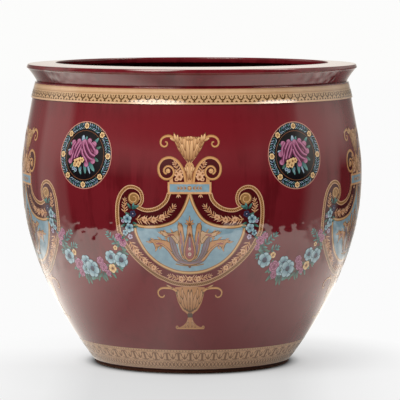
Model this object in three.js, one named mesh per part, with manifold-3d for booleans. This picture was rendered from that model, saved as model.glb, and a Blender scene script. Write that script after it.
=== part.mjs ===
// A large round porcelain jardiniere: a bellied bowl on a low foot ring, a moulded collar, a flared rim with a
// broad flat lip, and the printed transfers that are fired onto its glaze. Millimetres, +Z up, the foot's
// centre at the origin, the first urn facing -Y.
import * as THREE from "three";
import { mergeVertices } from "three/addons/utils/BufferGeometryUtils.js";
import Module from "manifold-3d";

const wasm = await Module();
wasm.setup();

// ---- Driving sizes of the pot ---------------------------------------------------------------------------
const FOOT_RADIUS = 130; // outside of the foot ring
const FOOT_HEIGHT = 6;
const FOOT_WIDTH = 16; // of the ring that the pot stands on
const FOOT_ROUNDING = 2.5; // lower edges of the foot ring
const BASE_STEP = 2.5; // the wall springs from the foot this far outside it
const BELLY_RADIUS = 226.5;
const LOWER_WALL_HEIGHT = 248; // foot to belly
const UPPER_WALL_HEIGHT = 100; // belly to collar
const SHOULDER_DRAW = 14.2; // the wall draws in this much from belly to collar
const WALL = 10;
const FLOOR = 14;
const COLLAR_BEAD = 1.2; // how far the collar stands proud of the wall
const COLLAR_HEIGHT = 21;
const COLLAR_TAPER = 3.6; // the collar draws in this much
const NECK_STEP = 2.6; // from the collar's top in to the neck
const RIM_HEIGHT = 25;
const LIP_REACH = 13.5; // the lip's outer edge beyond the neck
const LIP_WIDTH = 38.1; // of its flat top, from the outer edge in to the mouth
const LIP_FALL = 2; // the lip slopes down this much to its outer edge
const LIP_EDGE = 5.5; // height of the rounded outer edge
const LIP_THICKNESS = 8; // at the mouth

// How the wall leans: the lower wall leaves the foot at this lean and the upper wall meets the collar at its own.
const FOOT_LEAN = THREE.MathUtils.degToRad(36.3);
const SHOULDER_LEAN = THREE.MathUtils.degToRad(9.1);
// Length of each curve handle, as a share of the height of its stretch of wall.
const FOOT_HANDLE = 0.512;
const BELLY_HANDLE_BELOW = 0.27;
const BELLY_HANDLE_ABOVE = 0.345;
const SHOULDER_HANDLE = 0.314;

// ---- Driving sizes of the transfers ---------------------------------------------------------------------
const TRANSFER_THICKNESS = 0.4;
const TRANSFER_GAP = 0.3; // between a transfer and the glaze under it
const BORDER_MARGIN = 1; // glaze left bare at each edge of the upper border
const LOWER_BORDER_HEIGHT = 27.5;
const URNS = 5;
const URN_HEIGHT = 256.5;
const URN_SPREAD = THREE.MathUtils.degToRad(50.1); // the arc that an urn covers at the belly
const FRONT_PITCH = 74; // degrees from the front urn to each of its neighbours, as the decorator set them
const REAR_PITCH = (360 - 2 * FRONT_PITCH) / (URNS - 2);
const MEDALLION_RADIUS = 43;
const MEDALLION_RISE = 33.6; // its centre above the belly
const TENDRIL_WIDTH = 3.4;

// ---- Fineness of the facets -----------------------------------------------------------------------------
const AROUND = 60;
const LOWER_WALL_STEPS = 10;
const UPPER_WALL_STEPS = 4;
const ROUNDING_STEPS = 1;

// ---- Heights that follow --------------------------------------------------------------------------------
const BELLY_Z = FOOT_HEIGHT + LOWER_WALL_HEIGHT;
const SHOULDER_Z = BELLY_Z + UPPER_WALL_HEIGHT;
const NECK_Z = SHOULDER_Z + COLLAR_HEIGHT;
const TOP_Z = NECK_Z + RIM_HEIGHT;
const BASE_RADIUS = FOOT_RADIUS + BASE_STEP;
const SHOULDER_RADIUS = BELLY_RADIUS - SHOULDER_DRAW;
const COLLAR_TOP_RADIUS = SHOULDER_RADIUS - COLLAR_TAPER;
const NECK_RADIUS = COLLAR_TOP_RADIUS - NECK_STEP;
const LIP_RADIUS = NECK_RADIUS + LIP_REACH;
const LIP_INNER_RADIUS = LIP_RADIUS - LIP_WIDTH;

const glaze = { color: 0x6e1c26, roughness: 0.1, metalness: 0 };
const biscuit = { color: 0xd9cbb8, roughness: 0.85, metalness: 0 };
const gilt = { color: 0xc39a68, roughness: 0.3, metalness: 0 };
const enamel = { color: 0x86aebb, roughness: 0.15, metalness: 0 };
const rose = { color: 0x2a2328, roughness: 0.15, metalness: 0 };

const jardiniere = new THREE.Group();

function place(name, geometry, look) {
  const mesh = new THREE.Mesh(geometry, new THREE.MeshStandardMaterial(look));
  mesh.name = name;
  jardiniere.add(mesh);
  return mesh;
}

// ---- Solids ---------------------------------------------------------------------------------------------
// A profile of (radius, height) points, listed up the outside and down the inside, turned about +Z.
function revolve(profile) {
  const closed = [...profile, profile[0]];
  return new THREE.LatheGeometry(closed, AROUND).rotateX(Math.PI / 2);
}

// A closed mesh as a solid that can be joined and cut.
function solidOf(geometry) {
  const bare = geometry.clone();
  bare.deleteAttribute("normal");
  bare.deleteAttribute("uv");
  const merged = mergeVertices(bare, 1e-3);
  return new wasm.Manifold(
    new wasm.Mesh({
      numProp: 3,
      vertProperties: new Float32Array(merged.attributes.position.array),
      triVerts: new Uint32Array(merged.index.array),
    }),
  );
}

function geometryOf(solid) {
  const mesh = solid.getMesh();
  const geometry = new THREE.BufferGeometry();
  geometry.setAttribute("position", new THREE.BufferAttribute(mesh.vertProperties, 3));
  geometry.setIndex(new THREE.BufferAttribute(mesh.triVerts, 1));
  const flat = geometry.toNonIndexed();
  flat.computeVertexNormals();
  return flat;
}

// ---- The wall -------------------------------------------------------------------------------------------
// Two cubic curves, foot to belly and belly to shoulder, both upright at the belly.
function wallCurves() {
  const foot = new THREE.Vector2(BASE_RADIUS, FOOT_HEIGHT);
  const belly = new THREE.Vector2(BELLY_RADIUS, BELLY_Z);
  const shoulder = new THREE.Vector2(SHOULDER_RADIUS, SHOULDER_Z);
  const lean = (angle, length) => new THREE.Vector2(Math.sin(angle), Math.cos(angle)).multiplyScalar(length);
  const lower = new THREE.CubicBezierCurve(
    foot,
    foot.clone().add(lean(FOOT_LEAN, FOOT_HANDLE * LOWER_WALL_HEIGHT)),
    belly.clone().sub(lean(0, BELLY_HANDLE_BELOW * LOWER_WALL_HEIGHT)),
    belly,
  );
  const upper = new THREE.CubicBezierCurve(
    belly,
    belly.clone().add(lean(0, BELLY_HANDLE_ABOVE * UPPER_WALL_HEIGHT)),
    shoulder.clone().sub(lean(-SHOULDER_LEAN, SHOULDER_HANDLE * UPPER_WALL_HEIGHT)),
    shoulder,
  );
  return [lower, upper];
}

const [lowerWall, upperWall] = wallCurves();
const wallPoints = [...lowerWall.getPoints(LOWER_WALL_STEPS), ...upperWall.getPoints(UPPER_WALL_STEPS).slice(1)];

// The same line moved square to itself: outwards for a positive distance, into the clay for a negative one.
function offsetLine(points, distance) {
  return points.map((point, i) => {
    const before = points[Math.max(i - 1, 0)];
    const after = points[Math.min(i + 1, points.length - 1)];
    const along = after.clone().sub(before).normalize();
    return new THREE.Vector2(point.x + along.y * distance, point.y - along.x * distance);
  });
}

function radiusAt(points, height) {
  const i = Math.max(1, points.findIndex((point) => point.y >= height));
  const [low, high] = [points[i - 1], points[i]];
  return THREE.MathUtils.mapLinear(height, low.y, high.y, low.x, high.x);
}

const SHOULDER_INNER_RADIUS = SHOULDER_RADIUS - WALL / Math.cos(SHOULDER_LEAN);

function footRing() {
  const inner = FOOT_RADIUS - FOOT_WIDTH;
  const section = new THREE.Path()
    .moveTo(FOOT_RADIUS - FOOT_ROUNDING, 0)
    .absarc(FOOT_RADIUS - FOOT_ROUNDING, FOOT_ROUNDING, FOOT_ROUNDING, -Math.PI / 2, 0, false)
    .lineTo(FOOT_RADIUS, FOOT_HEIGHT)
    .lineTo(inner, FOOT_HEIGHT)
    .lineTo(inner, FOOT_ROUNDING)
    .absarc(inner + FOOT_ROUNDING, FOOT_ROUNDING, FOOT_ROUNDING, Math.PI, 1.5 * Math.PI, false);
  place("foot_ring", revolve(withoutRepeats(section.getPoints(ROUNDING_STEPS))), biscuit);
}

function withoutRepeats(points) {
  return points.filter((point, i) => point.distanceTo(points[(i + 1) % points.length]) > 1e-3);
}

function bowl() {
  const floorTop = FOOT_HEIGHT + FLOOR;
  const inside = offsetLine(wallPoints, -WALL).filter((point) => point.y > floorTop + WALL && point.y < SHOULDER_Z - 1);
  const corner = new THREE.Vector2(inside[0].x - WALL, floorTop);
  const rounding = new THREE.QuadraticBezierCurve(
    corner,
    new THREE.Vector2(inside[0].x - WALL / 2, floorTop),
    inside[0],
  ).getPoints(ROUNDING_STEPS);
  const profile = [
    new THREE.Vector2(0, FOOT_HEIGHT),
    ...wallPoints,
    new THREE.Vector2(SHOULDER_INNER_RADIUS, SHOULDER_Z),
    ...inside.slice(1).reverse(),
    ...rounding.reverse(),
    new THREE.Vector2(0, floorTop),
  ];
  place("bowl", new THREE.LatheGeometry(profile, AROUND).rotateX(Math.PI / 2), glaze);
}

// The collar's outside, from the bead that overhangs the wall up to the step in to the neck.
function collarOutside() {
  const foot = SHOULDER_RADIUS + COLLAR_BEAD;
  return [
    new THREE.Vector2(foot - COLLAR_BEAD / 2, SHOULDER_Z),
    new THREE.Vector2(foot, SHOULDER_Z + COLLAR_BEAD),
    new THREE.Vector2(COLLAR_TOP_RADIUS, NECK_Z - NECK_STEP / 2),
    new THREE.Vector2(COLLAR_TOP_RADIUS - NECK_STEP / 2, NECK_Z),
  ];
}

function collar() {
  const neckInner = NECK_RADIUS - WALL;
  const profile = [
    ...collarOutside(),
    new THREE.Vector2(neckInner, NECK_Z),
    new THREE.Vector2(SHOULDER_INNER_RADIUS, SHOULDER_Z),
  ];
  place("neck_collar", revolve(profile), glaze);
}

// The rim flares from the neck to a flat lip that overhangs both outside and inside.
function rim() {
  const outerTop = TOP_Z - LIP_FALL;
  const edge = LIP_EDGE / 2;
  const lipBottom = TOP_Z - LIP_THICKNESS;
  const inner = LIP_INNER_RADIUS;
  const nose = LIP_THICKNESS / 4;
  const section = new THREE.Path()
    .moveTo(NECK_RADIUS, NECK_Z)
    .quadraticCurveTo(NECK_RADIUS + edge, NECK_Z + RIM_HEIGHT / 3, LIP_RADIUS - edge / 2, outerTop - LIP_EDGE)
    .absarc(LIP_RADIUS - edge, outerTop - edge, edge, -Math.PI / 3, Math.PI / 2, false)
    .lineTo(inner + nose, TOP_Z)
    .absarc(inner + nose, TOP_Z - nose, nose, Math.PI / 2, Math.PI, false)
    .lineTo(inner, lipBottom + nose)
    .absarc(inner + nose, lipBottom + nose, nose, Math.PI, 1.5 * Math.PI, false)
    .quadraticCurveTo(NECK_RADIUS - WALL, lipBottom - nose, NECK_RADIUS - WALL, NECK_Z);
  place("flared_rim", revolve(withoutRepeats(section.getPoints(ROUNDING_STEPS))), glaze);
}

// ---- The printed sheet ----------------------------------------------------------------------------------
// Half of an urn as it is drawn, by its pieces from the foot to the finial: across from its middle, up from the
// belly. The other motifs are drawn on the same sheet.
const drawnUrn = {
  foot: [[0, -191], [24, -191], [28, -187.5], [24, -184.5], [13, -185], [8, -179], [4, -172], [5, -167]],
  cup: [[16, -157], [21, -146], [23, -131]],
  body: [[38, -125], [52, -117], [66, -107], [82, -91], [92, -74], [98, -62], [99, -43], [97.5, -24], [92, -9]],
  sideScroll: [[84, -3], [75, -1], [65, -4], [59, -11], [57, -20], [58, -29], [48, -30]],
  plinth: [[38, -26.5], [29, -18], [27, -12], [28.5, 3.5]],
  upperScroll: [[33, 6.5], [38, 11], [41, 18], [40, 25], [34, 33], [25, 35.5], [17, 32], [10, 27]],
  finial: [[9, 36], [14, 46], [18, 55], [23, 65.5], [12, 59], [0, 61]],
};
const urnHalf = Object.values(drawnUrn).flat();
const drawnWidth = 2 * Math.max(...urnHalf.map(([x]) => x));
const drawnHeight = Math.max(...urnHalf.map(([, y]) => y)) - Math.min(...urnHalf.map(([, y]) => y));
const UNIT_ACROSS = (URN_SPREAD * BELLY_RADIUS) / drawnWidth; // millimetres to a unit of the drawing
const UNIT_UP = URN_HEIGHT / drawnHeight;

// ---- Transfers ------------------------------------------------------------------------------------------
// A skin that lies just off a line of the outside.
function skin(line) {
  const under = offsetLine(line, TRANSFER_GAP);
  const over = offsetLine(line, TRANSFER_GAP + TRANSFER_THICKNESS);
  return revolve([...over, ...under.reverse()]);
}

function borders() {
  const collarLine = collarOutside().slice(1, 3);
  const along = collarLine[1].clone().sub(collarLine[0]).normalize().multiplyScalar(BORDER_MARGIN);
  place("upper_border_transfer", skin([collarLine[0].clone().add(along), collarLine[1].clone().sub(along)]), gilt);
  const top = FOOT_HEIGHT + BORDER_MARGIN + LOWER_BORDER_HEIGHT;
  const start = FOOT_HEIGHT + BORDER_MARGIN;
  const line = [
    new THREE.Vector2(radiusAt(wallPoints, start), start),
    ...wallPoints.filter((point) => point.y > start + 1 && point.y < top - 1),
    new THREE.Vector2(radiusAt(wallPoints, top), top),
  ];
  place("lower_border_transfer", skin(line), gilt);
}

// The wall's own skin, which every motif is cut from, and a cutter with a motif's outline, drawn across from the
// motif's middle and up from the belly.
const wallSkin = solidOf(
  skin(wallPoints.filter((point) => point.y > FOOT_HEIGHT + LOWER_BORDER_HEIGHT && point.y < SHOULDER_Z - 1)),
);

function cutter(shape) {
  const inside = BELLY_RADIUS * 0.4;
  const outside = BELLY_RADIUS * 1.3;
  const prism = new THREE.ExtrudeGeometry(shape, { depth: 1, bevelEnabled: false, steps: 1, curveSegments: 6 });
  const corners = prism.attributes.position;
  const point = new THREE.Vector3();
  for (let i = 0; i < corners.count; i++) {
    point.fromBufferAttribute(corners, i);
    const angle = (point.x * UNIT_ACROSS) / BELLY_RADIUS;
    const radius = point.z > 0.5 ? outside : inside;
    corners.setXYZ(i, radius * Math.sin(angle), -radius * Math.cos(angle), BELLY_Z + point.y * UNIT_UP);
  }
  return solidOf(prism);
}

// The motif is cut where it is drawn, then turned to each place.
function applyTransfers(name, shapes, angles, look) {
  const cutters = shapes.map(cutter);
  angles.forEach((angle, i) => {
    const turned = cutters.map((one) => one.rotate([0, 0, angle]));
    const outline = turned.reduce((whole, one) => whole.add(one));
    place(`${name}_${i + 1}`, geometryOf(wallSkin.intersect(outline)), look);
  });
}

const pointsOf = (pairs) => pairs.map(([x, y]) => new THREE.Vector2(x, y));

// Half an outline, listed from its bottom centre to its top centre on the right, with its mirror image.
function mirrored(half) {
  const left = half
    .filter(([x]) => x > 0)
    .map(([x, y]) => [-x, y])
    .reverse();
  return new THREE.Shape(pointsOf([...half, ...left]));
}

// A tendril: a band of even width along a bent line.
function tendril(pairs, side) {
  const line = pointsOf(pairs.map(([x, y]) => [side * x, y]));
  const half = TENDRIL_WIDTH / 2 / UNIT_UP;
  return new THREE.Shape([...offsetLine(line, half), ...offsetLine(line, -half).reverse()]);
}

function urnShapes() {
  const whole = mirrored(urnHalf);
  const tendrils = [1, -1].flatMap((side) => [
    tendril([[17, 56], [25, 61], [33, 59.5], [37, 54.5], [33, 48.5], [28, 50]], side),
    tendril([[20, -137], [30, -134], [42, -135], [47, -140.5], [43, -146], [37, -144]], side),
  ]);
  return [whole, ...tendrils];
}

function medallionShapes() {
  const across = MEDALLION_RADIUS / UNIT_ACROSS;
  const up = MEDALLION_RADIUS / UNIT_UP;
  return [new THREE.Shape().absellipse(0, MEDALLION_RISE / UNIT_UP, across, up, 0, 2 * Math.PI, false)];
}

// A hanging spray of flowers, deepest in the middle.
function garlandShapes() {
  const underside = [[0, -127], [22, -128], [40, -122], [49, -112], [52, -98], [46, -80], [40, -68]];
  const upperside = [[34, -70], [31, -82], [22, -91], [8, -96], [0, -94]];
  return [mirrored([...underside, ...upperside])];
}

const urnAngles = Array.from({ length: URNS }, (_, i) => {
  const toRear = FRONT_PITCH + (i - 1) * REAR_PITCH;
  return i === 0 ? 0 : toRear;
});
const betweenAngles = urnAngles.map((angle, i) => (angle + (urnAngles[i + 1] ?? 360)) / 2);

footRing();
bowl();
collar();
rim();
borders();
applyTransfers("urn_transfer", urnShapes(), urnAngles, gilt);
applyTransfers("rose_medallion_transfer", medallionShapes(), betweenAngles, rose);
applyTransfers("garland_transfer", garlandShapes(), betweenAngles, enamel);

export default jardiniere;
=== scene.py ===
"""A glazed porcelain jardiniere with fired-on prints, on a white studio floor."""

import logging
import math
import random
from bisect import bisect_left
from dataclasses import dataclass, field
from enum import Enum
from typing import Callable, Iterable, Sequence

import bmesh
import bpy
from bmesh.types import BMesh, BMFace, BMVert
from bpy.types import ID, Material, Mesh, Node, NodeSocket, NodeTree, Object
from mathutils import Matrix, Vector
from mathutils.geometry import interpolate_bezier


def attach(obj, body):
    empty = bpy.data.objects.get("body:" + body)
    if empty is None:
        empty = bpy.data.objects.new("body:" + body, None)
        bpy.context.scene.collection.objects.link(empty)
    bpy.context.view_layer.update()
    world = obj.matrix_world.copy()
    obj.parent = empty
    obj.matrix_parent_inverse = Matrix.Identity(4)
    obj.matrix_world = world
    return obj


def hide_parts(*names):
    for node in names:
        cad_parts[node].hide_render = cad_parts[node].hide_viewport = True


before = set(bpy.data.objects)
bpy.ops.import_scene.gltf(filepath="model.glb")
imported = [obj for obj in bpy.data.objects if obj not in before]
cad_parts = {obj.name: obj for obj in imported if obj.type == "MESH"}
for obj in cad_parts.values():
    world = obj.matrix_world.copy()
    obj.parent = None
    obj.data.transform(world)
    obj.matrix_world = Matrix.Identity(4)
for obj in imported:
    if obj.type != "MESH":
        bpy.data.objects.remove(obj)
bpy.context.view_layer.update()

MM = 0.001  # sizes are given in millimetres, and Blender's are metres
BODY = "root"
BAND_UNIT_MM = 10  # a band's print runs this far along its line for each step of its pattern coordinate
HATCH_SLANT = 0.35  # how far a rope's engraved strokes lean
MOTTLE_SCALE = 180.0  # flecks to a metre; each is 5.6 mm, as coarse as it needs to show
Point = tuple[float, float]

log = logging.getLogger("jardiniere")


# ---- Materials --------------------------------------------------------------------------------------------


def pairs(text: str) -> tuple[Point, ...]:
    """Read number pairs, such as an outline's places or a curve's, from "0,1.5 2,3"."""
    return tuple(tuple(map(float, pair.split(","))) for pair in text.split())


def linear(colour: str) -> tuple[float, float, float, float]:
    """Turn an sRGB hex colour to linear.

    Args:
        colour: six hex digits, such as "67161d".

    Returns:
        Red, green, blue and an alpha of 1.
    """
    shares = [int(colour[i : i + 2], 16) / 255 for i in (0, 2, 4)]
    return (*(c / 12.92 if c <= 0.04045 else ((c + 0.055) / 1.055) ** 2.4 for c in shares), 1.0)


def add_node(
    tree: NodeTree,
    kind: str,
    inputs: dict | None = None,
    stops: Sequence[tuple[float, str | float]] = (),
    **settings: object,
) -> Node:
    """Add one shader node, set it and link it.

    Args:
        tree: the tree it goes into.
        kind: the node's type, such as "Math".
        inputs: input name or number to a value, an sRGB hex colour, the socket that feeds it, or a node whose
            first live output feeds it.
        stops: a colour ramp's places, each with an sRGB hex colour or a plain level, which may pass 1.
        **settings: the node's own properties.

    Returns:
        The node.
    """
    node = tree.nodes.new(f"ShaderNode{kind}")
    for name, value in settings.items():
        setattr(node, name, value)
    for key, value in (inputs or {}).items():
        if isinstance(value, Node):
            value = next(socket for socket in value.outputs if socket.enabled)
        if isinstance(value, NodeSocket):
            tree.links.new(value, node.inputs[key])
        else:
            node.inputs[key].default_value = linear(value) if isinstance(value, str) else value
    while stops and len(node.color_ramp.elements) < len(stops):
        node.color_ramp.elements.new(0.5)
    for number, (place, shade) in enumerate(stops):
        element = node.color_ramp.elements[number]
        element.position = place
        element.color = linear(shade) if isinstance(shade, str) else (shade, shade, shade, 1.0)
    return node


def new_tree(name: str) -> tuple[Material, NodeTree]:
    """Start a material with an empty tree.

    Args:
        name: the material's name.

    Returns:
        The material and its tree.
    """
    material = bpy.data.materials.new(name)
    material.use_nodes = True
    material.node_tree.nodes.clear()
    return material, material.node_tree


def finish_tree(tree: NodeTree, shader: Node) -> None:
    """Link a shader to the material's output."""
    add_node(tree, "OutputMaterial", {"Surface": shader})


@dataclass(frozen=True)
class Gloss:
    """The clear glassy surface that the glaze and the prints share."""

    ior: float = 1.5
    roughness: float = 0.045
    ripple_mm: float = 55.0  # how far apart the glaze's slow waves lie
    ripple_height_mm: float = 0.035

    def shader(self, tree: NodeTree, colour: Node) -> Node:
        """Add the shader for a colour under the gloss.

        Args:
            tree: the material's tree.
            colour: the node that gives the colour.

        Returns:
            The Principled shader's node.
        """
        place = add_node(tree, "TexCoord").outputs["Object"]
        scale = 1 / (self.ripple_mm * MM)
        wave = add_node(tree, "TexNoise", {"Vector": place, "Scale": scale, "Detail": 1.0, "Roughness": 0.4})
        bump = add_node(
            tree, "Bump", {"Height": wave, "Distance": self.ripple_height_mm * MM, "Strength": 1.0},
        )
        return add_node(
            tree,
            "BsdfPrincipled",
            {
                "Base Color": colour, "Roughness": self.roughness, "IOR": self.ior, "Metallic": 0.0,
                "Normal": bump,
            },
        )


@dataclass(frozen=True)
class MaroonGlaze:
    """Coloured glaze on porcelain: it pools and runs a little darker, and painted light makes it lighter low
    on the wall and at the shoulder.
    """

    name: str = "maroon_glaze"
    deep: str = "5a1017"
    full: str = "6b1820"
    painted_light_colour: str = "731a22"
    pooling_mm: float = 70.0
    run_width_mm: float = 13.0
    run_share: float = 0.08  # a run's width as a share of its length
    height_mm: float = 400.0
    # Painted light: the share of the lighter colour by height, as a share of the pot's height; lighter low on
    # the wall and most at the shoulder, less just under the collar.
    painted_light_by_height: tuple[Point, ...] = pairs("0,0.6 0.3,0.5 0.42,0 0.66,0 0.75,0.8 0.82,0.9 0.87,0.25 1,0")

    def material(self, gloss: Gloss) -> Material:
        """Make the material.

        Args:
            gloss: the surface that it shares with the prints.

        Returns:
            The material.
        """
        material, tree = new_tree(self.name)
        place = add_node(tree, "TexCoord").outputs["Object"]
        pool = add_node(
            tree, "TexNoise", {"Vector": place, "Scale": 1 / (self.pooling_mm * MM), "Detail": 3.0},
        )
        drawn = add_node(tree, "VectorMath", {0: place, 1: (1, 1, self.run_share)}, operation="MULTIPLY")
        scale = 1 / (self.run_width_mm * MM)
        runs = add_node(tree, "TexNoise", {"Vector": drawn, "Scale": scale, "Detail": 3.0, "Roughness": 0.6})
        both = add_node(tree, "Math", {0: pool, 1: runs}, operation="ADD")
        pooled = add_node(tree, "ValToRGB", {"Fac": both}, [(0.8, self.deep), (1.0, self.full)])
        height = add_node(tree, "SeparateXYZ", {"Vector": place}).outputs["Z"]
        up = add_node(tree, "MapRange", {"Value": height, "From Max": self.height_mm * MM})
        # painted light: the colour turns lighter by height
        painted_light_share = add_node(tree, "ValToRGB", {"Fac": up}, self.painted_light_by_height)
        colour = add_node(tree, "Mix", {"Factor": painted_light_share, 6: pooled, 7: self.painted_light_colour}, data_type="RGBA")
        finish_tree(tree, gloss.shader(tree, colour))
        return material


@dataclass(frozen=True)
class Biscuit:
    """Unglazed fired porcelain on the foot: matt and sandy, grey where it rubs the floor."""

    name: str = "biscuit_foot"
    clay: str = "d8cdbd"
    worn: str = "a3988a"
    ior: float = 1.5
    grain_mm: float = 1.5
    grit_mm: float = 0.1  # how high the grains stand
    roughness: float = 0.85

    def material(self) -> Material:
        """Make the material."""
        material, tree = new_tree(self.name)
        place = add_node(tree, "TexCoord").outputs["Object"]
        grain = add_node(
            tree, "TexNoise", {"Vector": place, "Scale": 1 / (self.grain_mm * MM), "Detail": 4.0},
        )
        colour = add_node(tree, "ValToRGB", {"Fac": grain}, [(0.3, self.worn), (0.6, self.clay)])
        bump = add_node(tree, "Bump", {"Height": grain, "Distance": self.grit_mm * MM})
        surface = {"Base Color": colour, "Roughness": self.roughness, "IOR": self.ior, "Normal": bump}
        finish_tree(tree, add_node(tree, "BsdfPrincipled", surface))
        return material


class Form(Enum):
    """How a printed shape carries its colour."""

    FLAT = "flat"  # one colour, a little mottled
    PETAL = "petal"  # from root to tip, with a line round its edge
    BAND = "band"  # across a band, with a line along each edge


@dataclass(frozen=True)
class Enamel:
    """Overglaze enamel, screen printed on a transfer and fired on: flat colour with fine engraved shading."""

    root: str
    tip: str
    edge: str = "000000"
    form: Form = Form.FLAT
    edge_from: float = 1.0  # where the edge line starts, as a share of the way out
    hatch_mm: float = 0.0  # spacing of a band's engraved strokes
    hatch: str = "000000"

    def material(self, name: str, gloss: Gloss) -> Material:
        """Make the material.

        Args:
            name: the material's name.
            gloss: the surface that the glaze and the prints share.

        Returns:
            The material.
        """
        material, tree = new_tree(name)
        drawn = add_node(tree, "UVMap", uv_map="drawn")
        parts = add_node(tree, "SeparateXYZ", {"Vector": drawn})
        across, along = parts.outputs["X"], parts.outputs["Y"]
        if self.form is Form.FLAT:
            place = add_node(tree, "TexCoord").outputs["Object"]
            mottle = add_node(tree, "TexNoise", {"Vector": place, "Scale": MOTTLE_SCALE, "Detail": 2.0})
            colour = add_node(tree, "ValToRGB", {"Fac": mottle}, [(0.3, self.root), (0.7, self.tip)])
        else:
            if self.form is Form.PETAL:
                out = add_node(tree, "VectorMath", {0: drawn, 1: (0.5, 0.5, 0.0)}, operation="DISTANCE")
                inner = add_node(tree, "ValToRGB", {"Fac": along}, [(0.12, self.root), (0.85, self.tip)])
            else:
                middle = add_node(tree, "Math", {0: across, 1: 0.5}, operation="SUBTRACT")
                out = add_node(tree, "Math", {0: middle}, operation="ABSOLUTE")
                inner = add_node(tree, "ValToRGB", {"Fac": across}, [(0.2, self.root), (0.8, self.tip)])
            if self.hatch_mm:
                slant = add_node(
                    tree, "Math", {0: across, 1: HATCH_SLANT, 2: along}, operation="MULTIPLY_ADD",
                )
                turns = add_node(
                    tree, "Math", {0: slant, 1: BAND_UNIT_MM / self.hatch_mm}, operation="MULTIPLY",
                )
                share = add_node(tree, "Math", {0: turns}, operation="FRACT")
                stroke = add_node(tree, "Math", {0: share, 1: 0.5}, operation="GREATER_THAN")
                inner = add_node(tree, "Mix", {"Factor": stroke, 6: inner, 7: self.hatch}, data_type="RGBA")
            rim = add_node(tree, "Math", {0: out, 1: 0.5 * self.edge_from}, operation="GREATER_THAN")
            colour = add_node(tree, "Mix", {"Factor": rim, 6: inner, 7: self.edge}, data_type="RGBA")
        finish_tree(tree, gloss.shader(tree, colour))
        return material


class Ink(Enum):
    """The enamels on the printer's sheet."""

    GROUND = Enamel("430b0f", "4a0e13")
    BLACK = Enamel("0f0c0f", "161216")
    SKY = Enamel("7994a0", "86a0aa")
    GOLD = Enamel("bf8c5c", "d6a272")
    BROWN = Enamel("6a4028", "7a4c30")
    LINE = Enamel("c89a68", "d2a576", "966a42", Form.BAND, 0.8)
    ROPE = Enamel("a87842", "a87842", "d0a27c", Form.BAND, 0.56, 2.6, "66432a")
    # A darker copy of ROPE for the rope's lower part: painted shade, where less light falls low on the pot.
    ROPE_LOW = Enamel("966a3c", "966a3c", "ba8e6c", Form.BAND, 0.56, 2.6, "5e3e2a")
    SCROLL = Enamel("d29e68", "b47e4c", "84563a", Form.BAND, 0.78)
    ACANTHUS = Enamel("9c6c42", "e8b886", "7c5236", Form.PETAL, 0.82)
    LAUREL = Enamel("b47c52", "e0b08a", "b47c52", Form.PETAL)
    AMBER = Enamel("a8744a", "c89870", "66482e", Form.PETAL, 0.78)
    LOTUS = Enamel("a87850", "c0906a", "5e452e", Form.BAND, 0.62)
    FINE = Enamel("8a6844", "94714b")
    PLUM = Enamel("6c5a66", "8a7884", "574438", Form.PETAL, 0.8)
    GARNET = Enamel("7c3c44", "96565a", "b88a68", Form.PETAL, 0.8)
    ROSE = Enamel("843c5e", "bc7c98", "6a2c4a", Form.PETAL, 0.84)
    ROSE_DEEP = Enamel("742c4c", "98526f", "561e3a", Form.PETAL, 0.88)
    TEAL = Enamel("24504e", "64968f", "1a3f40", Form.PETAL, 0.88)
    LEAF = Enamel("1e423c", "5c8272", "16302a", Form.PETAL, 0.88)
    BLUE = Enamel("4c7684", "a6c0c6", "34525c", Form.PETAL, 0.86)
    NAVY = Enamel("1c1e30", "3a3e58", "1c1e30", Form.PETAL)
    YOLK = Enamel("c08a50", "e9c894", "94683a", Form.PETAL, 0.9)
    LILAC = Enamel("84708c", "c4b4c4", "54445a", Form.PETAL, 0.86)
    LOW_GROUND = Enamel("5a1218", "63171d")
    FEATHER = Enamel("5c7890", "a8bac6", "34485c", Form.PETAL, 0.86)
    STRIP = Enamel("94486c", "c2809e", "662e4a", Form.BAND, 0.78)
    BLUSH = Enamel("bc8470", "c48c78")
    VEIN = Enamel("62482f", "6e5238")
    LOTUS_ORANGE = Enamel("ae7a4e", "bc885c")
    LOTUS_TAN = Enamel("b48e68", "c29e7a")
    LOTUS_MAUVE = Enamel("746268", "827078")
    LOTUS_RED = Enamel("884646", "945252")
    OLIVE_GOLD = Enamel("8a6438", "9a7246")
    WHITE = Enamel("b49c8a", "c0a896")
    GILT = Enamel("bf9970", "c7a179")
    # Pale gilt: a printed stripe over the tulips, and a painted reflection along the collar's foot.
    GILT_PALE = Enamel("cda580", "d2aa85")
    GILT_DARK = Enamel("a97f5c", "af8560")
    OLIVE = Enamel("4c3114", "573a1a")
    GILT_DULL = Enamel("c69c76", "d0a681")
    GILT_BROWN = Enamel("825c40", "8b6549")


# ---- The pot's form ---------------------------------------------------------------------------------------


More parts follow.
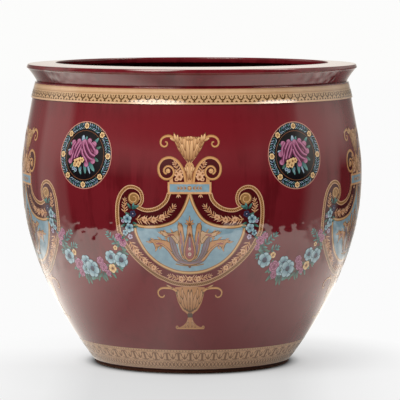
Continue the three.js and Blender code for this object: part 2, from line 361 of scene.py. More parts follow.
@dataclass(frozen=True)
class PotForm:
    """The pot's sizes in millimetres, and where its wall stands."""

    foot_radius: float = 130.0
    foot_height: float = 6.0
    foot_width: float = 16.0
    foot_rounding: float = 2.5
    base_step: float = 2.5
    belly_radius: float = 226.5
    lower_wall_height: float = 248.0
    upper_wall_height: float = 100.0
    shoulder_draw: float = 14.2
    wall: float = 10.0
    floor: float = 14.0
    collar_bead: float = 1.2
    collar_height: float = 21.0
    collar_taper: float = 3.6
    neck_step: float = 2.6
    rim_height: float = 25.0
    lip_reach: float = 13.5
    lip_width: float = 38.1
    lip_fall: float = 2.0
    lip_edge: float = 5.5
    lip_thickness: float = 8.0
    lip_bevel: float = 22.0  # degrees that the lip's outer edge leans back
    foot_lean: float = math.radians(36.3)
    shoulder_lean: float = math.radians(9.1)
    foot_handle: float = 0.512
    belly_handle_below: float = 0.27
    belly_handle_above: float = 0.345
    shoulder_handle: float = 0.314
    collar_roll: float = 6.0  # how high the collar's foot rolls out over the shoulder
    roll_lean: float = math.radians(13)
    fineness: int = 240  # points along the wall's line
    line: list[Vector] = field(init=False, repr=False, compare=False)
    heights: list[float] = field(init=False, repr=False, compare=False)

    def __post_init__(self) -> None:
        """Work out the wall's line, foot to shoulder, as (radius, height)."""
        object.__setattr__(self, "line", self._wall_line())
        object.__setattr__(self, "heights", [place.y for place in self.line])

    @property
    def base_radius(self) -> float:
        """Where the wall springs from the foot."""
        return self.foot_radius + self.base_step

    @property
    def belly_z(self) -> float:
        """Height of the widest place."""
        return self.foot_height + self.lower_wall_height

    @property
    def shoulder_z(self) -> float:
        """Height where the wall meets the collar."""
        return self.belly_z + self.upper_wall_height

    @property
    def neck_z(self) -> float:
        """Height of the collar's top."""
        return self.shoulder_z + self.collar_height

    @property
    def top_z(self) -> float:
        """The pot's whole height."""
        return self.neck_z + self.rim_height

    @property
    def shoulder_radius(self) -> float:
        """The wall's radius where it meets the collar."""
        return self.belly_radius - self.shoulder_draw

    @property
    def collar_top_radius(self) -> float:
        """The collar's radius at its top."""
        return self.shoulder_radius - self.collar_taper

    @property
    def neck_radius(self) -> float:
        """The neck's radius, inside the step above the collar."""
        return self.collar_top_radius - self.neck_step

    @property
    def lip_radius(self) -> float:
        """The lip's outer edge."""
        return self.neck_radius + self.lip_reach

    @property
    def mouth_radius(self) -> float:
        """The lip's inner edge."""
        return self.lip_radius - self.lip_width

    def collar_at_height(self, z: float) -> tuple[float, Vector]:
        """The collar's outside at a height, as at_height gives the wall's."""
        foot = Vector((self.shoulder_radius + self.collar_bead, self.shoulder_z + self.collar_bead))
        top = Vector((self.collar_top_radius, self.neck_z - self.neck_step / 2))
        way = (top - foot).normalized()
        share = (z - foot.y) / (top.y - foot.y)
        low = min(max(1 - (z - self.shoulder_z) / self.collar_roll, 0), 1)
        lean = math.atan2(-way.x, way.y) + self.roll_lean * (1 - (1 - low) ** 3)
        return foot.x + (top.x - foot.x) * share, Vector((math.cos(lean), math.sin(lean)))

    def _wall_line(self) -> list[Vector]:
        """The two curves of the wall, both upright at the belly."""
        foot = Vector((self.base_radius, self.foot_height, 0))
        belly = Vector((self.belly_radius, self.belly_z, 0))
        shoulder = Vector((self.shoulder_radius, self.shoulder_z, 0))
        low, high = self.lower_wall_height, self.upper_wall_height
        foot_way = Vector((math.sin(self.foot_lean), math.cos(self.foot_lean), 0))
        shoulder_way = Vector((math.sin(self.shoulder_lean), -math.cos(self.shoulder_lean), 0))
        upright = Vector((0, 1, 0))
        lower = interpolate_bezier(
            foot,
            foot + foot_way * self.foot_handle * low,
            belly - upright * self.belly_handle_below * low,
            belly,
            self.fineness,
        )
        upper = interpolate_bezier(
            belly,
            belly + upright * self.belly_handle_above * high,
            shoulder + shoulder_way * self.shoulder_handle * high,
            shoulder,
            self.fineness // 2,
        )
        return [Vector(p[:2]) for p in [*lower, *upper[1:]]]

    def at_height(self, z: float) -> tuple[float, Vector]:
        """The wall's outside at a height.

        Args:
            z: height in millimetres.

        Returns:
            Its radius, and the outward direction there as (radius, height).
        """
        i = min(max(bisect_left(self.heights, z), 1), len(self.line) - 1)
        low, high = self.line[i - 1], self.line[i]
        way = (high - low).normalized()
        share = (z - low.y) / (high.y - low.y)
        return low.x + (high.x - low.x) * share, Vector((way.y, -way.x))


def place_object(name: str, data: ID) -> Object:
    """Put a mesh, a lamp or a camera in the scene."""
    thing = bpy.data.objects.new(name, data)
    bpy.context.scene.collection.objects.link(thing)
    return thing


def mesh_of(bm: BMesh, name: str) -> Mesh:
    """Make a mesh of finished geometry, which is let go."""
    mesh = bpy.data.meshes.new(name)
    bm.to_mesh(mesh)
    bm.free()
    return mesh


def mount(mesh: Mesh, name: str, node: str) -> Object:
    """Make a mesh a piece of the pot.

    Args:
        mesh: its mesh, dressed.
        name: the piece's name.
        node: the CAD node that it stands for.

    Returns:
        The piece.
    """
    piece = place_object(name, mesh)
    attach(piece, BODY)
    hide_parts(node)
    log.info("%s: %d faces", name, len(mesh.polygons))
    return piece


def throw(bm: BMesh, ring: Sequence[Vector], steps: int) -> None:
    """Turn a section about the upright axis into a closed solid.

    Args:
        bm: where it is made, empty before.
        ring: the section's corners in order, in metres; one that starts on the axis also ends there.
        steps: facets round the pot.
    """
    verts = [bm.verts.new(place) for place in ring]
    after = verts[1:] if ring[0].xy.length == 0 else [*verts[1:], verts[0]]
    edges = [bm.edges.new(pair) for pair in zip(verts, after)]
    whole = {"angle": math.tau, "steps": steps, "use_merge": True}
    bmesh.ops.spin(bm, geom=[*verts, *edges], axis=(0, 0, 1), **whole)
    bmesh.ops.remove_doubles(bm, verts=bm.verts, dist=1e-6)
    bmesh.ops.recalc_face_normals(bm, faces=bm.faces)


@dataclass
class TurnedPiece:
    """A closed solid turned on the wheel from its profile."""

    name: str
    node: str
    slot: str
    material: Material
    steps: int = 360
    sharp: float = math.radians(40)

    def build(self, profile: Sequence[Point]) -> Object:
        """Turn the profile about the upright axis.

        Args:
            profile: (radius, height) points in millimetres, round the section; a solid that is closed at the
                axis starts and ends on it.

        Returns:
            The finished piece.
        """
        bm = bmesh.new()
        throw(bm, [Vector((r, 0, z)) * MM for r, z in profile], self.steps)
        for edge in bm.edges:
            edge.smooth = edge.calc_face_angle(0) < self.sharp
        for face in bm.faces:
            face.smooth = True
        mesh = mesh_of(bm, self.name)
        mesh.materials.append(self.material)
        return mount(mesh, self.name, self.node)


def around(centre: Point, radius: float, degrees: float) -> Point:
    """The place at an angle round a centre."""
    angle = math.radians(degrees)
    return (centre[0] + radius * math.cos(angle), centre[1] + radius * math.sin(angle))


def arc(centre: Point, radius: float, start: float, end: float, steps: int) -> list[Point]:
    """Points along an arc.

    Args:
        centre: its centre.
        radius: its radius.
        start: angle of its first point, in degrees.
        end: angle of its last point, in degrees.
        steps: how many stretches it has.

    Returns:
        The points, both ends included.
    """
    return [around(centre, radius, start + (end - start) * i / steps) for i in range(steps + 1)]


def curve(points: Sequence[Point], steps: int) -> list[Point]:
    """A quadratic curve from the first point to the third, drawn towards the second."""
    a, b, c = (Vector(p) for p in points)
    shares = [i / steps for i in range(steps + 1)]
    return [tuple(a * (1 - t) ** 2 + b * 2 * t * (1 - t) + c * t * t) for t in shares]


@dataclass
class Pot:
    """The jardiniere's clay: foot ring, bowl, collar and flared rim."""

    form: PotForm
    glaze: Material
    shaded_lining: Material
    biscuit: Material
    shaded_foot_brown: Material
    wall_steps: int = 64

    def _inside(self) -> list[Point]:
        """The wall's inner line, from the floor's corner up to the shoulder."""
        form = self.form
        floor_top = form.foot_height + form.floor
        low, high = floor_top + form.wall, form.shoulder_z - 1
        step = (form.shoulder_z - form.foot_height) / self.wall_steps
        line = []
        z = form.foot_height
        while z < form.shoulder_z:
            radius, out = form.at_height(z)
            point = (radius - out.x * form.wall, z - out.y * form.wall)
            if low < point[1] < high:
                line.append(point)
            z += step
        start = line[0]
        corner = [(start[0] - form.wall, floor_top), (start[0] - form.wall / 2, floor_top), start]
        return [*curve(corner, 6), *line[1:]]

    def build(self) -> list[Object]:
        """Turn the four pieces.

        Returns:
            The pieces, from the foot up.
        """
        pieces = [self._bowl(), self._collar(), self._rim()]
        for piece in pieces:
            self._line(piece)
        return [self._foot(), *pieces]

    def _line(self, piece: Object) -> None:
        """Glaze a piece's inside, under the lip, with the darker lining glaze: painted shade inside the
        mouth.
        """
        piece.data.materials.append(self.shaded_lining)
        under_lip = (self.form.top_z - self.form.lip_thickness) * MM
        floor_top = (self.form.foot_height + self.form.floor) * MM
        for polygon in piece.data.polygons:
            inward = polygon.center.xy.dot(polygon.normal.xy) < 0 or abs(polygon.center.z - floor_top) < MM
            polygon.material_index = int(inward and polygon.center.z < under_lip)

    def _foot(self) -> Object:
        """The ring that the pot stands on: dark matt brown outside, darkened as painted shade under the bowl
        and at the floor, bare where it meets the floor.
        """
        form = self.form
        radius, inner, rounding = form.foot_radius, form.foot_radius - form.foot_width, form.foot_rounding
        profile = [
            *arc((radius - rounding, rounding), rounding, -90, 0, 4),
            (radius, form.foot_height),
            (inner, form.foot_height),
            *arc((inner + rounding, rounding), rounding, 180, 270, 4),
        ]
        piece = TurnedPiece("turned_foot_ring", "foot_ring", "biscuit", self.shaded_foot_brown).build(profile)
        piece.data.materials.append(self.biscuit)
        for polygon in piece.data.polygons:
            near_floor = polygon.center.z < 0.3 * rounding * MM
            inward = polygon.center.xy.length < (inner + 0.2 * rounding) * MM
            polygon.material_index = int(near_floor or inward)
        return piece

    def _bowl(self) -> Object:
        """The thrown bowl, wall and floor in one."""
        form = self.form
        step = (form.shoulder_z - form.foot_height) / self.wall_steps
        heights = [form.foot_height + i * step for i in range(self.wall_steps + 1)]
        outside = [(form.at_height(z)[0], z) for z in heights]
        shoulder_inner = form.shoulder_radius - form.wall / math.cos(form.shoulder_lean)
        profile = [
            (0.0, form.foot_height),
            *outside,
            (shoulder_inner, form.shoulder_z),
            *reversed(self._inside()),
            (0.0, form.foot_height + form.floor),
        ]
        return TurnedPiece("glazed_bowl", "bowl", "glaze", self.glaze).build(profile)

    def _collar(self) -> Object:
        """The moulded collar, with a small rounded bead below and a rounded top edge."""
        form = self.form
        foot = form.shoulder_radius + form.collar_bead
        bead = form.collar_bead
        profile = [
            *arc((foot - bead, form.shoulder_z + bead), bead, -90, 0, 6),
            (form.collar_top_radius, form.neck_z - form.neck_step / 2),
            *arc(
                (form.collar_top_radius - form.neck_step / 2, form.neck_z - form.neck_step / 2),
                form.neck_step / 2, 15, 90, 5,
            ),
            (form.neck_radius - form.wall, form.neck_z),
            (form.shoulder_radius - form.wall / math.cos(form.shoulder_lean), form.shoulder_z),
        ]
        return TurnedPiece("moulded_collar", "neck_collar", "glaze", self.glaze).build(profile)

    def _rim(self) -> Object:
        """The flared rim and its broad flat lip, rounded at both edges."""
        form = self.form
        outer_top = form.top_z - form.lip_fall
        edge, nose = form.lip_edge / 2, form.lip_thickness / 4
        lip_bottom = form.top_z - form.lip_thickness
        nip = form.lip_edge / 4
        bevel = 2 * nip * math.tan(math.radians(form.lip_bevel))
        inner = form.mouth_radius
        profile = [
            *curve(
                [
                    (form.neck_radius, form.neck_z),
                    (form.neck_radius + 1.5 * edge, form.neck_z + form.rim_height / 3),
                    (form.lip_radius - edge / 2, outer_top - form.lip_edge),
                ],
                10,
            ),
            *arc((form.lip_radius - nip, outer_top - form.lip_edge + nip), nip, -50, 0, 4),
            *arc((form.lip_radius - nip - bevel, outer_top - nip), nip, form.lip_bevel, 90, 6),
            *arc((inner + nose, form.top_z - nose), nose, 90, 180, 6),
            *arc((inner + nose, lip_bottom + nose), nose, 180, 270, 6),
            *curve(
                [
                    (inner + nose, lip_bottom),
                    (form.neck_radius - form.wall, lip_bottom - nose),
                    (form.neck_radius - form.wall, form.neck_z),
                ],
                8,
            )[1:],
        ]
        return TurnedPiece("flared_lip_rim", "flared_rim", "glaze", self.glaze).build(profile)


# ---- The print shop ---------------------------------------------------------------------------------------


def angle_of(way: Vector) -> float:
    """A direction's angle in degrees from the right."""
    return math.degrees(math.atan2(way.y, way.x))


class Path:
    """A smooth line through points, read by how far along it one is."""

    FINENESS = 10  # stretches between two points

    def __init__(self, points: Sequence[Point], closed: bool = False) -> None:
        """Thread a line through the points.

        Args:
            points: where it passes, in millimetres on the sheet.
            closed: whether it comes back to its start.
        """
        places = [Vector(p) for p in points]
        before = places[-1] if closed else places[0] * 2 - places[1]
        after = [places[0], places[1]] if closed else [places[-1] * 2 - places[-2]]
        ring = [before, *places, *after]
        self.line: list[Vector] = []
        for a, b, c, d in zip(ring, ring[1:], ring[2:], ring[3:]):
            for step in range(self.FINENESS):
                t = step / self.FINENESS
                square, cube = 2 * a - 5 * b + 4 * c - d, 3 * b - a - 3 * c + d
                self.line.append(0.5 * (2 * b + (c - a) * t + square * t**2 + cube * t**3))
        self.line.append(places[0 if closed else -1].copy())
        self.marks = [0.0]
        for p, q in zip(self.line, self.line[1:]):
            self.marks.append(self.marks[-1] + (q - p).length)

    @property
    def length(self) -> float:
        """Its whole length in millimetres."""
        return self.marks[-1]

    def at(self, share: float) -> tuple[Vector, Vector]:
        """A place on the line.

        Args:
            share: how far along, from 0 to 1.

        Returns:
            The place, and the direction to its left.
        """
        far = share * self.length
        i = min(max(bisect_left(self.marks, far), 1), len(self.line) - 1)
        p, q = self.line[i - 1], self.line[i]
        part = (far - self.marks[i - 1]) / max(self.marks[i] - self.marks[i - 1], 1e-9)
        way = self.line[min(i + 1, len(self.line) - 1)] - self.line[max(i - 2, 0)]
        way.normalize()
        return p.lerp(q, part), Vector((-way.y, way.x))


class PrintSheet:
    """A motif drawn flat in millimetres, across and up, in enamels laid one over another."""

    def __init__(self) -> None:
        """Start with a clean sheet."""
        self.bm = bmesh.new()
        self.drawn = self.bm.loops.layers.uv.new("drawn")
        self.inks: list[Ink] = []

    def _faces_of(self, verts: Sequence[BMVert]) -> list[BMFace]:
        """The faces that a shape's corners carry."""
        return list({face for vert in verts for face in vert.link_faces})

    def _ink(self, faces: Iterable[BMFace], ink: Ink, layer: float) -> None:
        """Give faces their enamel and the height of their layer."""
        if ink not in self.inks:
            self.inks.append(ink)
        slot = self.inks.index(ink)
        verts = set()
        for face in faces:
            face.material_index = slot
            verts.update(face.verts)
        for vert in verts:
            vert.co.z = layer

    def _place(self, verts: Sequence[BMVert], at: Point, angle: float, size: Point, root: bool) -> None:
        """Size, turn and move a unit shape; a rooted one grows away from its place."""
        turn = Matrix.Rotation(math.radians(angle - 90), 4, "Z")
        lift = Matrix.Translation((0, size[1] / 2 if root else 0, 0))
        scale = Matrix.Diagonal((size[0] / 2, size[1] / 2, 1, 1))
        matrix = Matrix.Translation((at[0], at[1], 0)) @ turn @ lift @ scale
        bmesh.ops.transform(self.bm, matrix=matrix, verts=verts)

    def petal(
        self,
        ink: Ink,
        at: Point,
        angle: float,
        length: float,
        width: float,
        layer: float,
        point: float = 0.5,
        segments: int = 8,
        root: bool = True,
        curl: float = 0.0,
    ) -> None:
        """Print a petal, leaf or dot.

        Args:
            ink: its enamel.
            at: its root, or its middle if it isn't rooted.
            angle: which way it grows, in degrees from the right.
            length: its length.
            width: its width.
            layer: the layer it is printed in.
            point: how pointed its tip is, from 0 to 1.
            segments: sides of its outline.
            root: whether it grows from its place.
            curl: how far its tip bends to the left, as a share of its length.
        """
        made = bmesh.ops.create_circle(self.bm, cap_ends=True, radius=1, segments=segments)
        verts = made["verts"]
        faces = self._faces_of(verts)
        for face in faces:
            for loop in face.loops:
                loop[self.drawn].uv = (loop.vert.co.x / 2 + 0.5, loop.vert.co.y / 2 + 0.5)
        for vert in verts:
            up = (vert.co.y + 1) / 2
            vert.co.x = vert.co.x * (1 - point * up) - curl * 2 * length / width * up * up
        self._place(verts, at, angle, (width, length), root)
        self._ink(faces, ink, layer)

    def dot(self, ink: Ink, at: Point, radius: float, layer: float, segments: int = 10) -> None:
        """Print a round dot."""
        self.petal(ink, at, 90, 2 * radius, 2 * radius, layer, 0.0, segments, root=False)

    def band(
        self,
        ink: Ink,
        points: Sequence[Point],
        width: float,
        layer: float,
        ends: Point = (1.0, 1.0),
        closed: bool = False,
        step: float = 2.6,
    ) -> None:
        """Print a band along a smooth line.

        Args:
            ink: its enamel.
            points: where its middle passes.
            width: its width.
            layer: the layer it is printed in.
            ends: its width at the start and the end, as a share of the width.
            closed: whether it comes back to its start.
            step: length of one stretch.
        """
        path = Path(points, closed)
        count = max(3, round(path.length / step))
        made = bmesh.ops.create_grid(self.bm, x_segments=count, y_segments=1, size=1)
        verts = made["verts"]
        faces = self._faces_of(verts)
        for face in faces:
            for loop in face.loops:
                share = (loop.vert.co.x + 1) / 2
                loop[self.drawn].uv = (loop.vert.co.y / 2 + 0.5, share * path.length / BAND_UNIT_MM)
        for vert in verts:
            share = (vert.co.x + 1) / 2
            place, left = path.at(share)
            half = vert.co.y * width / 2 * (ends[0] + (ends[1] - ends[0]) * share)
            vert.co.xy = place + left * half
        self._ink(faces, ink, layer)

    def patch(self, ink: Ink, outline: Sequence[Point], layer: float, smooth: bool = False) -> None:
        """Print a filled shape.

        Args:
            ink: its enamel.
            outline: its corners, in order.
            layer: the layer it is printed in.
            smooth: whether the outline is a smooth line through the corners.
        """
        if smooth:
            path = Path(outline, closed=True)
            count = max(8, round(path.length / 3))
            outline = [tuple(path.at(i / count)[0]) for i in range(count)]
        verts = [self.bm.verts.new((x, y, 0)) for x, y in outline]
        face = self.bm.faces.new(verts)
        for loop in face.loops:
            loop[self.drawn].uv = (loop.vert.co.x / 10, loop.vert.co.y / 10)
        filled = bmesh.ops.triangulate(self.bm, faces=[face])
        self._ink(filled["faces"], ink, layer)

    def spray(
        self,
        leaf: Ink,
        points: Sequence[Point],
        layer: float,
        size: Point = (6.0, 2.4),
        gap: float = 4.2,
        stem: Ink | None = None,
        lean: float = 38.0,
    ) -> None:
        """Print a stem with leaves on both sides.

        Args:
            leaf: the leaves' enamel.
            points: where the stem passes, root first.
            layer: the layer it is printed in.
            size: a leaf's length and width.
            gap: distance between leaves.
            stem: the stem's enamel, the leaves' own if none.
            lean: the leaves' angle to the stem, in degrees.
        """
        path = Path(points)
        count = max(2, int(path.length / gap))
        self.band(stem or Ink.GOLD, points, 0.9, layer, (1.0, 0.6))
        for i in range(count + 1):
            place, left = path.at(min(1.0, (i + 0.4) / count))
            heading = angle_of(left) - 90
            scale = 1.0 - 0.35 * i / count
            for side in (1, -1):
                way = heading + side * (lean + (9 if (i + side) % 3 else -8))
                self.petal(leaf, tuple(place), way, size[0] * scale, size[1] * scale, layer + 0.5, 0.55, 8)
        tip, left = path.at(1.0)
        length, width = (0.7 * part for part in size)
        self.petal(leaf, tuple(tip), angle_of(left) - 90, length, width, layer + 0.5)

    def flower(
        self,
        ink: Ink,
        at: Point,
        radius: float,
        layer: float,
        petals: int = 5,
        eye: Ink = Ink.NAVY,
        eye_share: float = 0.34,
        turn: float = 90.0,
        width: float = 0.95,
    ) -> None:
        """Print an open flower.

        Args:
            ink: the petals' enamel.
            at: its middle.
            radius: its radius.
            layer: the layer it starts in; it takes three.
            petals: how many petals it has.
            eye: the eye's enamel.
            eye_share: the eye's radius as a share of the flower's.
            turn: angle of the first petal, in degrees.
            width: a petal's width as a share of the radius.
        """
        for i in range(petals):
            way = turn + 360 * i / petals
            self.petal(ink, at, way, radius, radius * width, layer + i % 2, -0.25, 10)
        self.dot(eye, at, radius * eye_share, layer + 2, 8)

    def rose(self, at: Point, radius: float, layer: float, turn: float = 20.0) -> None:
        """Print a full rose: rings of cupped petals round a closed heart.

        Args:
            at: its middle.
            radius: its radius.
            layer: the layer it starts in; it takes five.
            turn: angle of the first petal, in degrees.
        """
        rings = [
            (6, 1.0, 0.95, Ink.ROSE), (5, 0.74, 0.8, Ink.ROSE_DEEP), (5, 0.6, 0.7, Ink.ROSE),
            (3, 0.36, 0.5, Ink.ROSE_DEEP),
        ]
        for ring, (count, reach, width, ink) in enumerate(rings):
            for i in range(count):
                way = turn + 37 * ring + 360 * i / count
                self.petal(
                    ink, at, way, radius * reach, radius * width, layer + ring + 0.4 * (i % 2), -0.2, 9,
                )

    def join(self, other: "PrintSheet") -> None:
        """Take in the shapes of another sheet, which uses this one's list of enamels."""
        mesh = mesh_of(other.bm, "joined")
        self.bm.from_mesh(mesh)
        bpy.data.meshes.remove(mesh)

    def mirror(self) -> None:
        """Add the left half, the right half's mirror image."""
        geometry = [*self.bm.verts, *self.bm.edges, *self.bm.faces]
        bmesh.ops.mirror(self.bm, geom=geometry, matrix=Matrix.Identity(4), merge_dist=1e-4, axis="X")

    def finish(self, cell: float) -> None:
        """Cut the sheet along a grid, so that it can bend to the pot, and turn all its faces up.

        Args:
            cell: the grid's spacing in millimetres.
        """
        bm = self.bm
        bmesh.ops.triangulate(bm, faces=[f for f in bm.faces if len(f.verts) > 4])
        for axis in (0, 1):
            low = min(v.co[axis] for v in bm.verts)
            high = max(v.co[axis] for v in bm.verts)
            normal = Vector((0, 0, 0))
            normal[axis] = 1
            for i in range(math.floor(low / cell) + 1, math.ceil(high / cell)):
                geometry = [*bm.verts, *bm.edges, *bm.faces]
                bmesh.ops.bisect_plane(
                    bm, geom=geometry, dist=1e-5, plane_co=normal * i * cell, plane_no=normal,
                )
        bm.normal_update()
        bmesh.ops.reverse_faces(bm, faces=[f for f in bm.faces if f.normal.z < 0])


@dataclass(frozen=True)
class Skin:
    """A stretch of the pot's outside that takes a print."""

    line: Callable[[float], tuple[float, Vector]]  # radius and outward direction at a height
    radius: float  # where a millimetre across the sheet is a millimetre round the pot

    def at(self, across: float, z: float) -> tuple[Vector, Vector]:
        """A place on the pot, from the sheet's across and height, and the outward direction there."""
        radius, _ = self.line(z)
        way = Vector((math.sin(across / self.radius), -math.cos(across / self.radius), 0))
        return Vector((way.x * radius, way.y * radius, z)), self.outward(way, z)

    def outward(self, place: Vector, z: float) -> Vector:
        """The outward direction at a height, on the side where the place lies."""
        way = Vector((place.x, place.y, 0)).normalized()
        _, out = self.line(z)
        return Vector((way.x * out.x, way.y * out.x, out.y))

    def shade(self, mesh: Mesh) -> None:
        """Give a print on the skin the shading of the glaze under it."""
        mesh.normals_split_custom_set_from_vertices([self.outward(v.co, v.co.z / MM) for v in mesh.vertices])


@dataclass
class Kiln:
    """Fires printed sheets onto the pot: bends them to its outside and makes them pieces."""

    gloss: Gloss
    lowest: float = 0.06  # height of the first layer's top over the glaze, millimetres
    layer: float = 0.03
    enamels: dict[Ink, Material] = field(default_factory=dict)

    def enamel(self, ink: Ink) -> Material:
        """The material of an enamel, made once."""
        if ink not in self.enamels:
            self.enamels[ink] = ink.value.material(f"enamel_{ink.name.lower()}", self.gloss)
        return self.enamels[ink]

    def bend(self, sheet: PrintSheet, skin: Skin) -> None:
        """Give a flat sheet its thickness and bend it to the pot.

        Args:
            sheet: the flat motif, finished; its height is a layer number.
            skin: where it goes.
        """
        bm = sheet.bm
        flat = list(bm.verts)
        raised = bmesh.ops.extrude_face_region(bm, geom=bm.faces[:], use_keep_orig=True)
        tops = {vert for vert in raised["geom"] if isinstance(vert, BMVert)}
        for vert in tops:
            vert.co.z = self.lowest + self.layer * vert.co.z
        for vert in flat:
            vert.co.z = 0.0
        bmesh.ops.recalc_face_normals(bm, faces=bm.faces)
        for vert in bm.verts:
            place, out = skin.at(vert.co.x, vert.co.y)
            vert.co = (place + out * vert.co.z) * MM

    def fire(self, sheet: PrintSheet, skin: Skin, name: str) -> Mesh:
        """Make a bent sheet a mesh that shades like the glaze under it.

        Args:
            sheet: the bent sheet.
            skin: where it lies.
            name: the mesh's name.

        Returns:
            The mesh.
        """
        for face in sheet.bm.faces:
            face.smooth = True
        mesh = mesh_of(sheet.bm, name)
        for ink in sheet.inks:
            mesh.materials.append(self.enamel(ink))
        skin.shade(mesh)
        return mesh

    def apply_turned(self, mesh: Mesh, skin: Skin, turn: float, name: str, node: str) -> None:
        """Put a copy of a print that faces the front on the pot, some degrees round to the right."""
        copy = mesh.copy()
        copy.name = name
        copy.transform(Matrix.Rotation(math.radians(turn), 4, "Z"))
        skin.shade(copy)
        mount(copy, name, node)


# ---- The motifs -------------------------------------------------------------------------------------------


@dataclass
class UrnPrint:
    """A garden urn of scrolls round a blue field, with a leafy finial above and a cupped foot below."""

    cell: float = 5.0
    rope_width: float = 5.8
    line_width: float = 2.4
    scroll_width: float = 3.6
    volute: Point = (72.2, 235.6)

    outer_rope: tuple[Point, ...] = pairs(
        "0,124.3 13,125.2 25,127.7 36,132 47,137.2 64,149.5 79.5,165 89,180.5 94.6,193 95.6,210 94.4,228 "
        "89.5,241 81,249 72,250 63.8,245.6 60.5,237.5 62,229.5 67.5,225"
    )
    arm_rope: tuple[Point, ...] = pairs("26,243 29.5,233.5 38,225.5 48,221.6 58,221.2 67.5,225")
    field_edge: tuple[Point, ...] = pairs(
        "0,242.6 4.5,229.5 9.5,219.5 16.5,210 25.5,204.3 40,200.4 58,199.6 72,202"
    )
    field_bottom: tuple[Point, ...] = pairs(
        "72,202 70.5,190 64.5,176.5 55.5,163.5 42,152.2 25,144.2 12,141.2 0,140.3"
    )
    upper_scroll: tuple[Point, ...] = pairs(
        "4.6,257 6.6,268 10.8,277.3 17.2,284.6 25,287.8 33.4,285.6 38.6,279 39.4,271.5 36.8,264.6 "
        "31.4,260.8 25,261.2 20.6,265.2 19.8,271 22.8,275.8 28,277 32,274 32.4,269.4 29,267"
    )

    def draw(self) -> PrintSheet:
        """Draw the urn.

        Returns:
            The finished sheet.
        """
        sheet = PrintSheet()
        halves = (self._shield, self._plinth, self._scrolls, self._finial, self._pedestal, self._lotus)
        for draw in (*halves, self._laurels):
            draw(sheet)
        sheet.mirror()
        self._middle(sheet)
        for side in (1, -1):
            self._drop(sheet, side)
        sheet.finish(self.cell)
        return sheet

    def _shield(self, sheet: PrintSheet) -> None:
        """The dark ground, the blue field and the rope round them."""
        corner = pairs("69,226 78,230 80,238 76,246 81,249")
        ground = [(0, 243), (26, 243), *self.arm_rope[1:-1], *corner, *reversed(self.outer_rope[:12])]
        sheet.patch(Ink.GROUND, ground, 0)
        sheet.patch(Ink.LOW_GROUND, [*self.outer_rope[:9], *self.field_bottom], 1)
        sheet.patch(Ink.SKY, [*self.field_edge, *self.field_bottom[1:]], 2)
        for ink, width, layer in ((Ink.FINE, self.line_width + 1.8, 2.5), (Ink.LINE, self.line_width, 3)):
            for line in (self.field_edge, self.field_bottom):
                sheet.band(ink, line, width, layer)
        # the rope's lower part takes the darker copy of its enamel: painted shade
        sheet.band(Ink.ROPE_LOW, self.outer_rope[:9], self.rope_width, 3)
        sheet.band(Ink.ROPE, self.outer_rope[8:], self.rope_width, 3, (1.0, 0.7))
        sheet.band(Ink.ROPE, self.arm_rope, self.rope_width - 0.8, 4)
        x, z = self.volute
        sheet.dot(Ink.GROUND, (x + 1, z + 2), 12, 0, 20)
        sheet.dot(Ink.OLIVE_GOLD, self.volute, 7.6, 4.5, 20)
        spiral = [around(self.volute, 7.8 - 0.38 * i, 190 - 34 * i) for i in range(15)]
        sheet.band(Ink.LINE, spiral, 1.7, 6, (1.0, 0.7))
        for way in range(0, 357, 51):
            sheet.petal(Ink.BROWN, around(self.volute, 5.4, way), way + 60, 2.4, 0.9, 5, 0.4, 6)

    def _plinth(self, sheet: PrintSheet) -> None:
        """The blue tablet on which the finial stands."""
        sheet.patch(Ink.GOLD, [(0, 242), (27.5, 242), (27.5, 257), (0, 257)], 5)
        sheet.patch(Ink.SKY, [(0, 244.6), (25, 244.6), (25, 254.4), (0, 254.4)], 6)
        for reach, size in ((4, 5.5), (8.5, 4.8), (12.5, 4)):
            for lean in (35, -35, 0):
                sheet.petal(Ink.AMBER, (reach, 249.5), lean, size, 1.7, 7)

    def _scrolls(self, sheet: PrintSheet) -> None:
        """The pair of scrolls over the plinth, with a flowered ground inside."""
        ground = [(4, 257.5), *self.upper_scroll[1:10], (27, 258)]
        sheet.patch(Ink.GROUND, ground, 0)
        sheet.band(Ink.SCROLL, self.upper_scroll, self.scroll_width, 5, (1.15, 0.7))
        sheet.dot(Ink.GOLD, (27.2, 271.0), 3.0, 6, 12)
        sheet.dot(Ink.YOLK, (26.8, 271.6), 1.2, 7, 8)
        sheet.spray(Ink.LAUREL, [(11, 259), (13.6, 268), (18.4, 280.5)], 2, (6.4, 2.5), 3.6, lean=46)
        for x, z, size in ((12.8, 263.4, 4.4), (16.6, 267.6, 3.2), (10.4, 269.4, 2.8), (16.4, 260.6, 2.6)):
            sheet.flower(Ink.LAUREL, (x, z), size, 4, 5, Ink.BROWN, 0.28)
        sheet.patch(Ink.GOLD, [(20.6, 256), (25.4, 256), (25, 262.6), (21, 262.6)], 4)
        stem = pairs("0,257 2.8,257 2.9,263 3.7,268 5,273 5.4,277.5 3.4,281 0,281.5")
        sheet.patch(Ink.GOLD, stem, 5)
        sheet.petal(Ink.ACANTHUS, (0.8, 259), 84, 20, 3.4, 6, 0.2, 10)
        sheet.petal(Ink.ACANTHUS, (2.8, 269), 62, 8, 3.0, 7, 0.4, 8)

